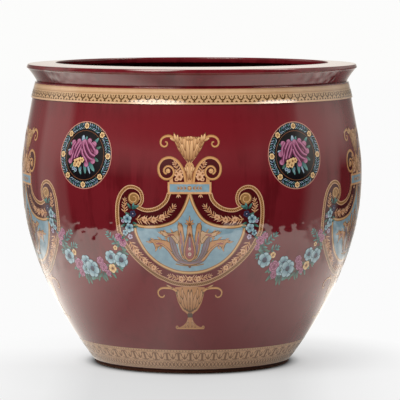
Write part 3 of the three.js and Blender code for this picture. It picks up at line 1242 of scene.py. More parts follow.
    def _finial(self, sheet: PrintSheet) -> None:
        """The cup of acanthus leaves and its pair of tendrils."""
        cup = pairs(
            "0,280.5 2.8,281.5 4.6,284 8.2,288.5 11,292.5 14.8,300 17.4,307 17,312.4 12.8,313.4 9.4,310.6 "
            "6.4,313.4 0,313.8"
        )
        sheet.patch(Ink.GOLD, cup, 5)
        leaves = [  # root, way, length, width, layer, curl
            ((3.4, 283.4), 77, 30, 6.2, 6, -0.12), ((1.4, 281), 87, 33, 6.2, 7, 0.0),
            ((7, 288), 70, 25, 5.6, 7, -0.1), ((10.6, 293.6), 66, 19.5, 5.0, 8, -0.06),
            ((5.4, 296), 80, 17.5, 4.0, 8, 0.06), ((13, 299.5), 62, 21, 6.2, 9, 0.12),
            ((15.5, 305), 84, 12, 4.6, 10, 0.1), ((17, 308), 30, 10, 4.2, 10, -0.1),
            ((9.6, 304), 74, 10.5, 3.8, 9, 0.06),
        ]
        for root, way, length, width, layer, curl in leaves:
            sheet.petal(Ink.ACANTHUS, root, way, length, width, layer, 0.45, 12, True, curl)
        sheet.dot(Ink.ACANTHUS, (1.8, 311.6), 3.0, 9)
        tendril = pairs("21,312 26,314.6 32.4,313.8 37,309.8 37.2,304 33,301 29,302.8 28.8,306.6 31.6,307.4")
        sheet.band(Ink.SCROLL, tendril, 3.0, 8, (1.3, 0.6))
        sheet.petal(Ink.BROWN, (0.6, 282.4), 60, 4.4, 1.5, 10, 0.4, 7)

    def _pedestal(self, sheet: PrintSheet) -> None:
        """The hanging cup under the shield, its knop and its foot."""
        cup = pairs("0,122 21,121 22,119.5 20.2,110 18,101 15,95 11.6,90 7,87 4,84.5 0,84")
        sheet.patch(Ink.LOTUS_ORANGE, cup, 1)
        leaves = [
            ((6.6, 90), 66, 29, 7.6, 2, -0.2), ((3.8, 88), 78, 31, 7.6, 3, -0.1),
            ((1.2, 86), 88, 33, 7.4, 4, 0.0), ((13.6, 98), 72, 21, 5.4, 3, 0.3),
            ((10.6, 105), 84, 15, 4.6, 4, 0.2),
        ]
        for root, way, length, width, layer, curl in leaves:
            sheet.petal(Ink.AMBER, root, way, length, width, layer, 0.4, 14, True, curl * 0.4)
        tendril = pairs("19.5,116 25,119.3 33,120 41.5,119.4 47,114.8 45.6,108.4 40,107.4 37.8,110.4")
        sheet.band(Ink.SCROLL, tendril, 3.0, 5, (1.3, 0.6))
        sheet.petal(Ink.AMBER, (24, 119), 28, 12, 3.6, 6)
        foot = pairs("0,80 3.6,80 4.6,76.4 6.8,72.6 10.6,69.4 16,66.8 21.6,66.2 21.6,63.8 0,63.8")
        sheet.patch(Ink.LOTUS_ORANGE, foot, 1)
        sheet.dot(Ink.LOTUS_ORANGE, (21.8, 66.2), 2.6, 1.5)
        sheet.dot(Ink.BROWN, (21.8, 66.4), 0.9, 2.5, 6)
        sheet.petal(Ink.AMBER, (2.6, 66), 82, 13, 4.4, 2)
        sheet.petal(Ink.AMBER, (9, 66), 130, 10, 3.6, 2)
        sheet.band(Ink.SCROLL, [(0, 64.8), (20, 64.8)], 1.8, 3)
        sheet.patch(Ink.PLUM, [(0, 80), (3.2, 80), (4.2, 83), (3.4, 86), (0, 86)], 2)

    def _lotus(self, sheet: PrintSheet) -> None:
        """The flower of curled leaves in the blue field, right half."""
        upper = pairs(
            "16,178 12.8,187 14.4,195.4 20.5,193.2 28,192.2 38.4,195.6 35,189 29,187.4 22.6,185.6 "
            "18.8,180.4"
        )
        outer = pairs(
            "53.6,182.4 45,183.4 36.4,183 27.9,181.2 22.2,176 20.6,169 26,168.6 31,172.4 37.4,175.8 "
            "41.6,174 44.8,169.2 46,174.4 48,178.6"
        )
        tall = pairs(
            "4.6,156.6 9.8,161 12.5,169.4 13.4,178.5 13.6,186 14.4,194 15.4,202 12.4,205 9.2,201.6 8,193.2 "
            "6.8,186 7.4,176 7.6,167 4,158.6"
        )
        mauve = pairs(
            "3.4,152.8 10,154.6 16.6,158.6 20.8,164 24,171.6 26.2,180.3 26.4,188.5 20.6,183 17,174 "
            "14.6,165.5 9.6,158 3.4,154.2"
        )
        for ink, outline, layer in (
            (Ink.LOTUS_TAN, upper, 4), (Ink.LOTUS_ORANGE, outer, 4), (Ink.LOTUS_ORANGE, tall, 8),
            (Ink.LOTUS_MAUVE, mauve, 6),
        ):
            self._leaf(sheet, ink, outline, layer)
        stem = pairs("0,152 7.8,153.6 15.8,156 21,160.6 25.8,167.4 31,173 37.6,177.5 45,180.4")
        sheet.band(Ink.LOTUS, stem, 5.2, 5.5, (1.1, 0.4), step=4.0)
        sheet.petal(Ink.LOTUS_TAN, (8, 158), 77, 34, 7.0, 3.5, 0.4, 12)
        sheet.petal(Ink.PLUM, (8.6, 162), 84, 34, 4.4, 9, 0.4, 12)
        sheet.petal(Ink.PLUM, (4.6, 157), 84, 27, 3.8, 10, 0.4, 12)
        sheet.band(Ink.VEIN, [(7, 154.6), (15, 160.4), (20, 169), (22.8, 180)], 0.8, 7, step=4.0)
        sheet.band(Ink.VEIN, [(16, 183), (20, 188.6), (28, 190)], 0.8, 5, step=4.0)
        frills = [  # root, way, length, width, curl
            ((15, 193), 104, 8, 3.2, 0.2), ((22, 192), 78, 6.5, 3.0, -0.25), ((30, 192), 60, 6, 2.8, -0.25),
            ((34, 190.5), 8, 8, 3.2, 0.3), ((28, 187.6), -40, 6, 2.8, 0.25),
            ((29, 181.6), 74, 7, 3.0, -0.25), ((37, 182.6), 56, 7, 3.0, -0.3),
            ((46, 182.4), 40, 6.5, 2.8, -0.3), ((49, 180), -8, 9, 3.2, 0.25), ((43, 175), -78, 8, 3.4, 0.2),
            ((37, 175.8), -66, 6, 3.0, 0.2), ((25, 184), 76, 9, 3.2, -0.2), ((11.4, 201), 70, 7, 3.4, -0.2),
            ((13, 200), 108, 6, 3.0, 0.2),
        ]
        for root, way, length, width, curl in frills:
            sheet.petal(Ink.AMBER, root, way, length, width, 5, 0.5, 8, True, curl)
        for start, way, length in (((46, 178), 176, 12), ((30, 189), 172, 11), ((11, 176), 86, 14)):
            sheet.petal(Ink.GARNET, start, way, length, 2.8, 10)

    def _leaf(self, sheet: PrintSheet, ink: Ink, outline: Sequence[Point], layer: float) -> None:
        """Print a filled leaf with a fine line round it."""
        sheet.patch(ink, outline, layer, smooth=True)
        sheet.band(Ink.VEIN, outline, 0.9, layer + 0.5, closed=True, step=3.4)

    def _laurels(self, sheet: PrintSheet) -> None:
        """Gold sprays of leaves and small flowers on the dark ground, right half."""
        sprays = [
            (
                [(80.5, 180), (70.5, 164.5), (58, 152.4), (43, 141.6)],
                ((72, 167), (61, 155.2), (50, 146.8)), 6.8,
            ),
            (
                [(70, 209.4), (54, 208.3), (38, 210.6), (27, 217.6), (20.6, 225.6)],
                ((58, 208.6), (46, 209.2), (35, 212.4)), 6.8,
            ),
            ([(84.6, 217), (84.9, 225), (84.2, 233)], (), 5.2),
            ([(1, 132), (14, 132.4), (27.5, 135.6)], ((12, 132.6),), 6.2),
        ]
        for points, flowers, length in sprays:
            sheet.spray(Ink.LAUREL, points, 2, (length + 1, 1.9), 3.1, lean=44)
            for place in flowers:
                sheet.flower(Ink.LAUREL, place, 3.8, 4, 7, Ink.BROWN, 0.22, width=0.5)
        for way in (-60, -90, -125):
            sheet.petal(Ink.LAUREL, (14, 242), way, 5.2, 1.8, 2)

    def _middle(self, sheet: PrintSheet) -> None:
        """What stands on the middle line."""
        bud = pairs("0,205.5 2.7,201 3.6,191 5.9,180.3 8.1,169.4 7.4,161.5 3.8,156.8 0,155.2")
        heart = pairs("0,193 2.2,185.5 3.8,179.5 6,169.4 5.8,164 3.2,159.6 0,158.2")
        for ink, half, layer in ((Ink.LOTUS_ORANGE, bud, 11), (Ink.LOTUS_RED, heart, 13)):
            self._leaf(sheet, ink, [*half, *((-x, z) for x, z in reversed(half[1:-1]))], layer)
        sheet.petal(Ink.PLUM, (0, 170), 90, 19, 4.2, 14, 0.5, 14)
        sheet.band(Ink.LOTUS_MAUVE, [(-17, 155.6), (0, 153.2), (17, 155.6)], 2.4, 10, step=6.0)
        sheet.band(
            Ink.OLIVE_GOLD, [(-19, 152), (-9, 150.2), (0, 149.8), (9, 150.2), (19, 152)], 1.6, 3.5, step=5.0,
        )
        for way, length in ((90, 12), (55, 8), (125, 8), (18, 6.5), (162, 6.5)):
            sheet.petal(Ink.AMBER, (0, 203), way, length, 3.4, 14, 0.5, 9)
        sheet.dot(Ink.BROWN, (0, 203.6), 1.9, 15, 8)
        sheet.flower(Ink.WHITE, (0, 172), 2.1, 15, 5, Ink.GARNET, 0.3)
        sheet.flower(Ink.WHITE, (0, 165), 2.5, 15, 5, Ink.GARNET, 0.3)
        sheet.dot(Ink.BROWN, (0, 148.8), 2.0, 11, 8)
        sheet.flower(Ink.AMBER, (0, 249.5), 3.0, 7, 6, Ink.YOLK, 0.4)
        sheet.flower(Ink.LAUREL, (0, 132.4), 3.8, 4, 7, Ink.BROWN, 0.26, width=0.5)

    def _drop(self, sheet: PrintSheet, side: int) -> None:
        """The small flowers that hang over the urn's shoulder, on one side."""
        leaves = [
            ((73.7, 221), 100, 10), ((72, 222), 140, 9), ((76, 222), 58, 9), ((74, 225), 172, 7),
            ((77, 214), 24, 8), ((84, 203), -30, 9), ((84, 197), -70, 10), ((86, 206), 44, 7),
            ((75, 205), 200, 7), ((80, 191), -110, 8), ((74, 199), 170, 7), ((86, 188), -40, 8),
        ]
        for number, ((x, z), way, length) in enumerate(leaves):
            ink = Ink.LEAF if number % 3 else Ink.TEAL
            sheet.petal(ink, (side * x, z), way if side > 0 else 180 - way, length, 4.2, 9, 0.5, 9)
        flowers = [
            (Ink.NAVY, 73.7, 216, 4.4, Ink.LILAC), (Ink.LILAC, 88, 206.5, 2.6, Ink.NAVY),
            (Ink.LILAC, 79, 186.5, 3.6, Ink.NAVY), (Ink.BLUE, 85.6, 191.5, 4.0, Ink.NAVY),
            (Ink.BLUE, 81.4, 209.4, 6.2, Ink.NAVY), (Ink.BLUE, 79.2, 197.8, 6.4, Ink.NAVY),
        ]
        for number, (ink, x, z, radius, eye) in enumerate(flowers):
            sheet.flower(ink, (side * x, z), radius, 10 + number, 5, eye, 0.22, 60 + 25 * number, 0.8)


@dataclass
class MedallionPrint:
    """A round frame of leaves and small gold flowers with a bunch of roses on black inside it."""

    centre_z: float = 287.6
    radius: float = 42.9
    ring_inner: float = 31.2
    flowers: int = 8
    cell: float = 5.0

    def draw(self) -> PrintSheet:
        """Draw the medallion.

        Returns:
            The finished sheet.
        """
        sheet = PrintSheet()
        z = self.centre_z
        sheet.dot(Ink.BLACK, (0, z), self.radius, 0, 64)
        for ink, radius, width in ((Ink.BLUSH, self.radius - 0.6, 1.1), (Ink.BROWN, self.ring_inner, 0.8)):
            sheet.band(ink, arc((0, z), radius, 0, 345, 23), width, 2, closed=True)
        self._wreath(sheet)
        self._bouquet(sheet)
        sheet.finish(self.cell)
        return sheet

    def _wreath(self, sheet: PrintSheet) -> None:
        """The ring's feathery leaves and flowers."""
        middle = (self.radius + self.ring_inner) / 2 + 0.2
        centre = (0, self.centre_z)
        for i in range(self.flowers):
            start = 90 + 360 * i / self.flowers
            for k in range(7):
                way = start + 7.6 + 5.1 * k
                along = way + (90 if i % 2 else -90)
                for side in (1, -1):
                    ink = (Ink.TEAL, Ink.FEATHER, Ink.FEATHER)[(k + i + side) % 3]
                    sheet.petal(ink, around(centre, middle, way), along + side * 44, 5.8, 1.6, 3, 0.4, 7)
            place = around(centre, middle, start)
            sheet.flower(Ink.YOLK, place, 4.0, 4, 6, Ink.BROWN, 0.42, start, 0.8)
            sheet.dot(Ink.YOLK, place, 0.8, 7, 6)
        for i in range(3 * self.flowers):
            away = middle + (3.2 if i % 2 else -3.0)
            place = around(centre, away, 90 + 360 * (i + 0.5) / (3 * self.flowers))
            sheet.dot(Ink.WHITE, place, 0.6, 5, 6)

    def _bouquet(self, sheet: PrintSheet) -> None:
        """Two full drooping roses, a bunch of yellow flowers and leaves."""
        z = self.centre_z
        leaves = [
            ((-3, 16), 96, 10, 8, Ink.FEATHER), ((0, 16), 74, 9, 5, Ink.TEAL),
            ((-20, 5), 176, 9, 6, Ink.FEATHER), ((-18, 11), 150, 9, 5, Ink.LEAF),
            ((14, 14), 48, 12, 6, Ink.TEAL), ((18, 8), 24, 9, 5, Ink.LEAF), ((8, -7), -52, 17, 8, Ink.TEAL),
            ((2, -8), -84, 16, 7, Ink.TEAL), ((16, -3), -28, 9, 6, Ink.LEAF),
            ((6, -10), -68, 15, 4, Ink.FEATHER), ((-8, -12), -70, 14, 6, Ink.TEAL),
            ((-12, -13), -108, 11, 5, Ink.LEAF), ((-17, -10), -132, 9, 5, Ink.LEAF),
            ((-4, -14), -98, 9, 4, Ink.FEATHER),
        ]
        for (x, y), way, length, width, ink in leaves:
            sheet.petal(ink, (x, z + y), way, length, width, 2, 0.5, 10)
        left = pairs("-25,-8.6 -24.6,5 -22.4,12.4 -18,18 -11.6,18.4 -5,15.6 -5.6,5 -8,-1.6 -15,-5.6")
        right = pairs("-5.2,14 1,19 7,19.6 15.4,16.6 20.4,10.2 20.8,1.8 15.4,-5.6 6,-10 -1.6,-4.6 -5.8,3")
        for outline, layer in ((left, 4), (right, 8)):
            sheet.patch(Ink.ROSE_DEEP, [(x * 0.92, z + y * 0.97) for x, y in outline], layer, smooth=True)
        strips = [
            (5, ((-17.3, 17), (-22.3, 10.2), (-23.6, 0.7))),
            (6, ((-12, 17.4), (-18.2, 8), (-21.4, -2.4), (-22.8, -8))),
            (5, ((-8, 16), (-13.6, 6.4), (-17.6, -4))), (6, ((-5.6, 12.6), (-9.2, 4.4), (-12.8, -2.6))),
            (9, ((-3.4, 14.4), (0.6, 5.6), (7.4, -2), (15, -5.4))),
            (10, ((1.4, 17), (6, 8.8), (12.4, 2), (19, -0.4))), (9, ((6.4, 17.8), (12.4, 13), (18.6, 5.6))),
            (10, ((-5, 8), (-2.2, 0.7), (3.4, -5), (5.8, -9))), (11, ((12.6, 16.4), (17.4, 12.6))),
        ]
        for layer, points in strips:
            sheet.band(Ink.STRIP, [(x * 0.95, z + y) for x, y in points], 4.4, layer, (0.7, 0.6))
        for x, y, way, layer in (
            (-17, 12, 125, 4.5), (-10, 13, 95, 4.6), (-5, 11, 70, 4.5), (-20, 3, 190, 4.5),
            (-20, -5, 225, 4.6), (1, 13, 115, 8.5), (7, 14, 85, 8.6), (13, 11, 55, 8.5), (15, 4, 10, 8.5),
            (12, -4, -45, 8.6), (4, -7, -80, 8.5),
        ):
            sheet.petal(Ink.ROSE, (x, z + y), way, 8, 7.0, layer, -0.25, 9)
        sheet.petal(Ink.ROSE_DEEP, (9.4, z + 9.6), -50, 7, 3, 12, 0.3, 8)
        sheet.petal(Ink.ROSE_DEEP, (-17, z + 9), -110, 9, 2.4, 8, 0.3, 8)
        for x, y, size in (
            (-12, -9, 5.0), (-6.5, -7, 4.8), (-2.4, -6, 3.6), (-14, -12, 3.4), (-8.4, -12, 3.8),
        ):
            sheet.flower(Ink.YOLK, (x, z + y), size, 13, 5, Ink.BROWN, 0.26, 70, 0.75)
        for x, y in ((-17, -17), (-13, -19)):
            sheet.flower(Ink.FEATHER, (x, z + y), 2.6, 8, 5, Ink.NAVY, 0.3)


@dataclass
class GarlandPrint:
    """A hanging garland of blue flowers, roses and leaves."""

    middle: float = 146.5  # where it was measured, from the urn's middle
    cell: float = 5.0

    def draw(self) -> PrintSheet:
        """Draw the garland.

        Returns:
            The finished sheet.
        """
        sheet = PrintSheet()
        self._leaves(sheet)
        self._blooms(sheet)
        bmesh.ops.translate(sheet.bm, vec=(-self.middle, 0, 0), verts=sheet.bm.verts)
        sheet.finish(self.cell)
        return sheet

    def _leaves(self, sheet: PrintSheet) -> None:
        """Leaves behind the flowers, along the underside and up to both urns."""
        chooser = random.Random(5)
        line = pairs("96,186 101,168 111,149 128,137 148,134 166,137 184,144 196,156 199,176 203,187")
        spine = Path(line)
        count = 46
        for i in range(count):
            place, left = spine.at((i + 0.5) / count)
            way = angle_of(-left) + chooser.uniform(-75, 75)
            ink = chooser.choice((Ink.LEAF, Ink.TEAL, Ink.LEAF, Ink.TEAL, Ink.LEAF))
            sheet.petal(
                ink, tuple(place), way, chooser.uniform(9, 13), chooser.uniform(4.2, 6.0), 0 + i % 3, 0.45,
                8,
            )
        for i in range(0, count, 2):
            place, left = spine.at((i + 0.5) / count)
            way = angle_of(left) + chooser.uniform(-60, 60)
            sheet.petal(
                Ink.LEAF, tuple(place), way, chooser.uniform(8, 12), chooser.uniform(3.8, 5.0), 0, 0.45, 8,
            )
        for (x, y), way in (
            ((133, 132), -95), ((136, 132), -80), ((165, 138), -70), ((178, 141), -60), ((121, 136), -130),
        ):
            sheet.petal(Ink.LEAF, (x, y), way, 13, 5.4, 3, 0.5, 9)
        for points in (
            [(98, 172), (107, 179), (117, 187)], [(198, 172), (190, 179), (182, 188)],
            [(104, 168), (95, 161)], [(112, 166), (122, 170)],
        ):
            sheet.spray(Ink.TEAL, points, 2, (8.4, 4.0), 4.6, Ink.LEAF, 44)

    def _blooms(self, sheet: PrintSheet) -> None:
        """The flowers, from the left urn to the right one."""
        blooms = [  # a rose, or enamel, middle, radius, layer, petals, eye, eye's share, turn, petal's width
            (Ink.ROSE, (95.5, 181), 6.2, 4, 10), (Ink.ROSE, (102, 187), 4.6, 5, 40),
            (Ink.ROSE, (92, 172), 4.0, 4, 60),
            (Ink.BLUE, (105.5, 155), 10.6, 6, 6, Ink.NAVY, 0.36, 80, 0.85),
            (Ink.YOLK, (117.5, 161), 4.4, 5, 5, Ink.BROWN, 0.28), (Ink.ROSE, (122.5, 145.5), 8.6, 7, 30),
            (Ink.ROSE, (124, 134.5), 5.6, 6, 10),
            (Ink.BLUE, (137, 150), 9.4, 5, 6, Ink.NAVY, 0.22, 60, 0.85),
            (Ink.BLUE, (146, 141.5), 12.4, 8, 7, Ink.NAVY, 0.3, 90, 0.8),
            (Ink.BLUE, (134, 140), 7.6, 7, 5, Ink.LEAF, 0.25), (Ink.ROSE, (162.5, 152.5), 6.0, 5, 20),
            (Ink.ROSE, (166.5, 144.5), 6.4, 6, 60), (Ink.YOLK, (181, 143.5), 6.2, 8, 5, Ink.BROWN, 0.3, 60),
            (Ink.ROSE, (173, 137), 4.4, 6, 10),
            (Ink.BLUE, (181, 158.5), 9.4, 6, 6, Ink.NAVY, 0.34, 75, 0.85),
            (Ink.BLUE, (196.5, 155.5), 10.6, 7, 6, Ink.NAVY, 0.36, 100, 0.85),
            (Ink.ROSE, (196.5, 185), 5.4, 5, 10), (Ink.ROSE, (202, 178), 5.6, 4, 50),
            (Ink.YOLK, (190, 171), 3.2, 4, 5, Ink.BROWN, 0.3),
        ]
        for ink, *bloom in blooms:
            if ink is Ink.ROSE:
                sheet.rose(*bloom)
            else:
                sheet.flower(ink, *bloom)


@dataclass
class BorderPrint:
    """A printed border: bands right round the pot, and one small pattern repeated over them."""

    form: PotForm
    bottom: float
    top: float
    repeats: int
    name: str
    node: str
    steps: int = 360
    rise: float = 3.0  # height of one stretch of a band
    cell: float = 6.0

    def outside(self, z: float) -> tuple[float, Vector]:
        """The pot's outside at a height, where the border lies."""
        raise NotImplementedError

    def skin(self) -> Skin:
        """Where it lies, drawn to size at its middle."""
        return Skin(self.outside, self.outside((self.bottom + self.top) / 2)[0])

    def bands(self) -> list[tuple[Ink, float, float, float]]:
        """Its bands: enamel, bottom, top and layer."""
        raise NotImplementedError

    def pattern(self, sheet: PrintSheet, pitch: float) -> None:
        """Draw the pattern once, from 0 to the pitch across."""
        raise NotImplementedError

    def build(self, kiln: Kiln) -> Object:
        """Print the border.

        Args:
            kiln: what fires it on.

        Returns:
            The piece.
        """
        skin = self.skin()
        rings = PrintSheet()
        for band in self.bands():
            rings.join(self._band(rings.inks, skin, kiln, *band))
        sheet = PrintSheet()
        sheet.inks = rings.inks
        self.pattern(sheet, math.tau * skin.radius / self.repeats)
        sheet.finish(self.cell)
        kiln.bend(sheet, skin)
        share = (self.repeats - 1) / self.repeats
        geometry = [*sheet.bm.verts, *sheet.bm.edges, *sheet.bm.faces]
        copies = {"angle": math.tau * share, "steps": self.repeats - 1, "use_duplicate": True}
        bmesh.ops.spin(sheet.bm, geom=geometry, axis=(0, 0, 1), **copies)
        rings.join(sheet)
        return mount(kiln.fire(rings, skin, self.name), self.name, self.node)

    def _band(
        self, inks: list[Ink], skin: Skin, kiln: Kiln, ink: Ink, low: float, high: float, layer: float
    ) -> PrintSheet:
        """Turn one band right round the pot, as a sheet that uses the border's list of enamels."""
        sheet = PrintSheet()
        sheet.inks = inks
        bm = sheet.bm
        count = max(1, math.ceil((high - low) / self.rise))
        line = [skin.at(0, low + (high - low) * i / count) for i in range(count + 1)]
        height = kiln.lowest + kiln.layer * layer
        ring = [*(place + out * height for place, out in line), *(place for place, _ in reversed(line))]
        throw(bm, [place * MM for place in ring], self.steps)
        if ink not in inks:
            inks.append(ink)
        for face in bm.faces:
            face.material_index = inks.index(ink)
        return sheet


@dataclass
class CollarBorder(BorderPrint):
    """The border round the collar: a plain band over a row of tulips and a row of small teeth."""

    def outside(self, z: float) -> tuple[float, Vector]:
        """The collar's outside."""
        return self.form.collar_at_height(z)

    def bands(self) -> list[tuple[Ink, float, float, float]]:
        """Its bands: the ground, a pale line below that is a painted reflection of the bright room on the
        collar's rolled foot, and stripes over the tulips.
        """
        return [
            (Ink.GILT, self.bottom, self.top, 0),
            # painted reflection: the pale line along the collar's bottom edge
            (Ink.GILT_PALE, self.bottom, self.bottom + 2.1, 1),
            (Ink.GILT_PALE, self.top - 4.2, self.top - 2.4, 1),
            (Ink.GILT_DARK, self.top - 6.9, self.top - 5.9, 1),
            (Ink.GILT_DARK, self.top - 0.9, self.top, 1),
        ]

    def pattern(self, sheet: PrintSheet, pitch: float) -> None:
        """Draw one tulip with its leaves, and two teeth."""
        teeth, foot, crown = self.bottom + 2.3, self.bottom + 4.9, self.bottom + 10.6
        middle = pitch / 2
        for side in (1, -1):
            arm = [(middle, foot + 0.2), (middle + side * 2.6, foot + 1.8), (middle + side * 3.7, crown)]
            sheet.band(Ink.OLIVE, arm, 1.7, 2, (1.1, 0.8), step=2.0)
            sheet.petal(Ink.OLIVE, (middle + side * 3.4, crown - 0.3), 90 - side * 80, 2.0, 1.1, 2, 0.3, 6)
            sheet.petal(Ink.OLIVE, (middle + side * 5.1, foot + 1.4), 90 + side * 20, 2.4, 1.0, 2, 0.4, 6)
        sheet.petal(Ink.OLIVE, (middle, crown - 1.9), 90, 2.0, 1.5, 2, 0.2, 6)
        sheet.dot(Ink.OLIVE, (middle, foot + 2.6), 0.5, 2, 6)
        for place in (0.0, 0.5):
            x = pitch * place
            sheet.patch(Ink.OLIVE, [(x - 2.2, teeth), (x + 2.2, teeth), (x, teeth + 2.5)], 2)


@dataclass
class FootBorder(BorderPrint):
    """The border above the foot: a row of spools and palmettes over a row of lattice."""

    lattice: int = 3  # crosses to a repeat

    def outside(self, z: float) -> tuple[float, Vector]:
        """The wall's outside."""
        return self.form.at_height(z)

    def bands(self) -> list[tuple[Ink, float, float, float]]:
        """Its bands: the ground and the lines that part the rows."""
        return [
            (Ink.GILT_DULL, self.bottom, self.top, 0),
            (Ink.GILT_BROWN, self.bottom + 1.6, self.bottom + 2.1, 1),
            (Ink.GILT_BROWN, self.bottom + 10.9, self.bottom + 11.4, 1),
            (Ink.GILT_BROWN, self.top - 3.6, self.top - 3.1, 1),
            (Ink.GILT_BROWN, self.top - 0.4, self.top, 1),
        ]

    def pattern(self, sheet: PrintSheet, pitch: float) -> None:
        """Draw one spool, one palmette and the lattice under them."""
        foot, crown = self.bottom + 12.2, self.top - 4.4
        sheet.band(Ink.GILT_BROWN, [(0, foot), (0, crown)], 2.6, 2, step=4.0)
        for z in (foot + 0.7, crown - 0.7):
            sheet.band(Ink.GILT_BROWN, [(-2.9, z), (2.9, z)], 1.5, 2, step=2.0)
        middle = pitch / 2
        for side in (1, -1):
            sheet.petal(Ink.GILT_BROWN, (middle, foot + 1.6), 90 + side * 34, 6.0, 1.9, 2, 0.4, 7)
            sheet.petal(
                Ink.GILT_BROWN, (middle + side * 4.2, crown - 0.3), 90 + side * 170, 4.6, 1.7, 2, 0.4, 7,
            )
            sheet.dot(Ink.GILT_BROWN, (middle + side * 3.4, foot + 1.2), 0.9, 2, 6)
        sheet.petal(Ink.GILT_BROWN, (middle, foot + 2.2), 90, 7.4, 1.8, 2, 0.4, 7)
        for i in range(4):
            sheet.dot(Ink.GILT_BROWN, (pitch * (i + 0.5) / 4, self.top - 1.7), 0.8, 2, 6)
        low, high = self.bottom + 3.2, self.bottom + 9.8
        width = pitch / self.lattice
        for i in range(self.lattice):
            for start, end in ((low, high), (high, low)):
                sheet.band(
                    Ink.GILT_BROWN, [(width * (i + 0.1), start), (width * (i + 0.9), end)], 0.9, 2, step=4.0,
                )
            sheet.dot(Ink.GILT_BROWN, (width * (i + 0.5), (low + high) / 2), 1.2, 3, 6)


# ---- The studio -------------------------------------------------------------------------------------------


@dataclass(frozen=True)
class Window:
    """A wide bright window, far enough off that its light falls evenly."""

    turn: float  # degrees round from the front, to the right
    rise: float  # degrees above the floor
    share: float  # of the plain light level, on a surface facing it
    width: float  # degrees across
    level: float  # how bright the gloss sees it

    @property
    def way(self) -> Vector:
        """The direction towards it."""
        turn, rise = math.radians(self.turn), math.radians(self.rise)
        return Vector((math.sin(turn) * math.cos(rise), -math.cos(turn) * math.cos(rise), math.sin(rise)))

    def seen(self, tree: NodeTree, way: NodeSocket) -> Node:
        """How bright the gloss sees it in the direction of a ray.

        Args:
            tree: the world's tree.
            way: the ray's direction.

        Returns:
            The node that gives the level.
        """
        facing = add_node(tree, "VectorMath", {0: way, 1: self.way}, operation="DOT_PRODUCT")
        blur = 5  # degrees to either side of its edge
        edge, middle = (math.cos(math.radians(self.width / 2 + side)) for side in (blur, -blur))
        levels = {"Value": facing, "From Min": edge, "From Max": middle, "To Min": 0.0, "To Max": self.level}
        return add_node(tree, "MapRange", levels)

    def open(self, name: str) -> None:
        """Let its light in.

        Args:
            name: the lamp's name.
        """
        lamp = bpy.data.lights.new(name, "SUN")
        lamp.energy = self.share * math.pi
        lamp.angle = math.radians(self.width)
        thing = place_object(name, lamp)
        thing.rotation_euler = self.way.to_track_quat("Z", "Y").to_euler()
        thing.visible_glossy = False


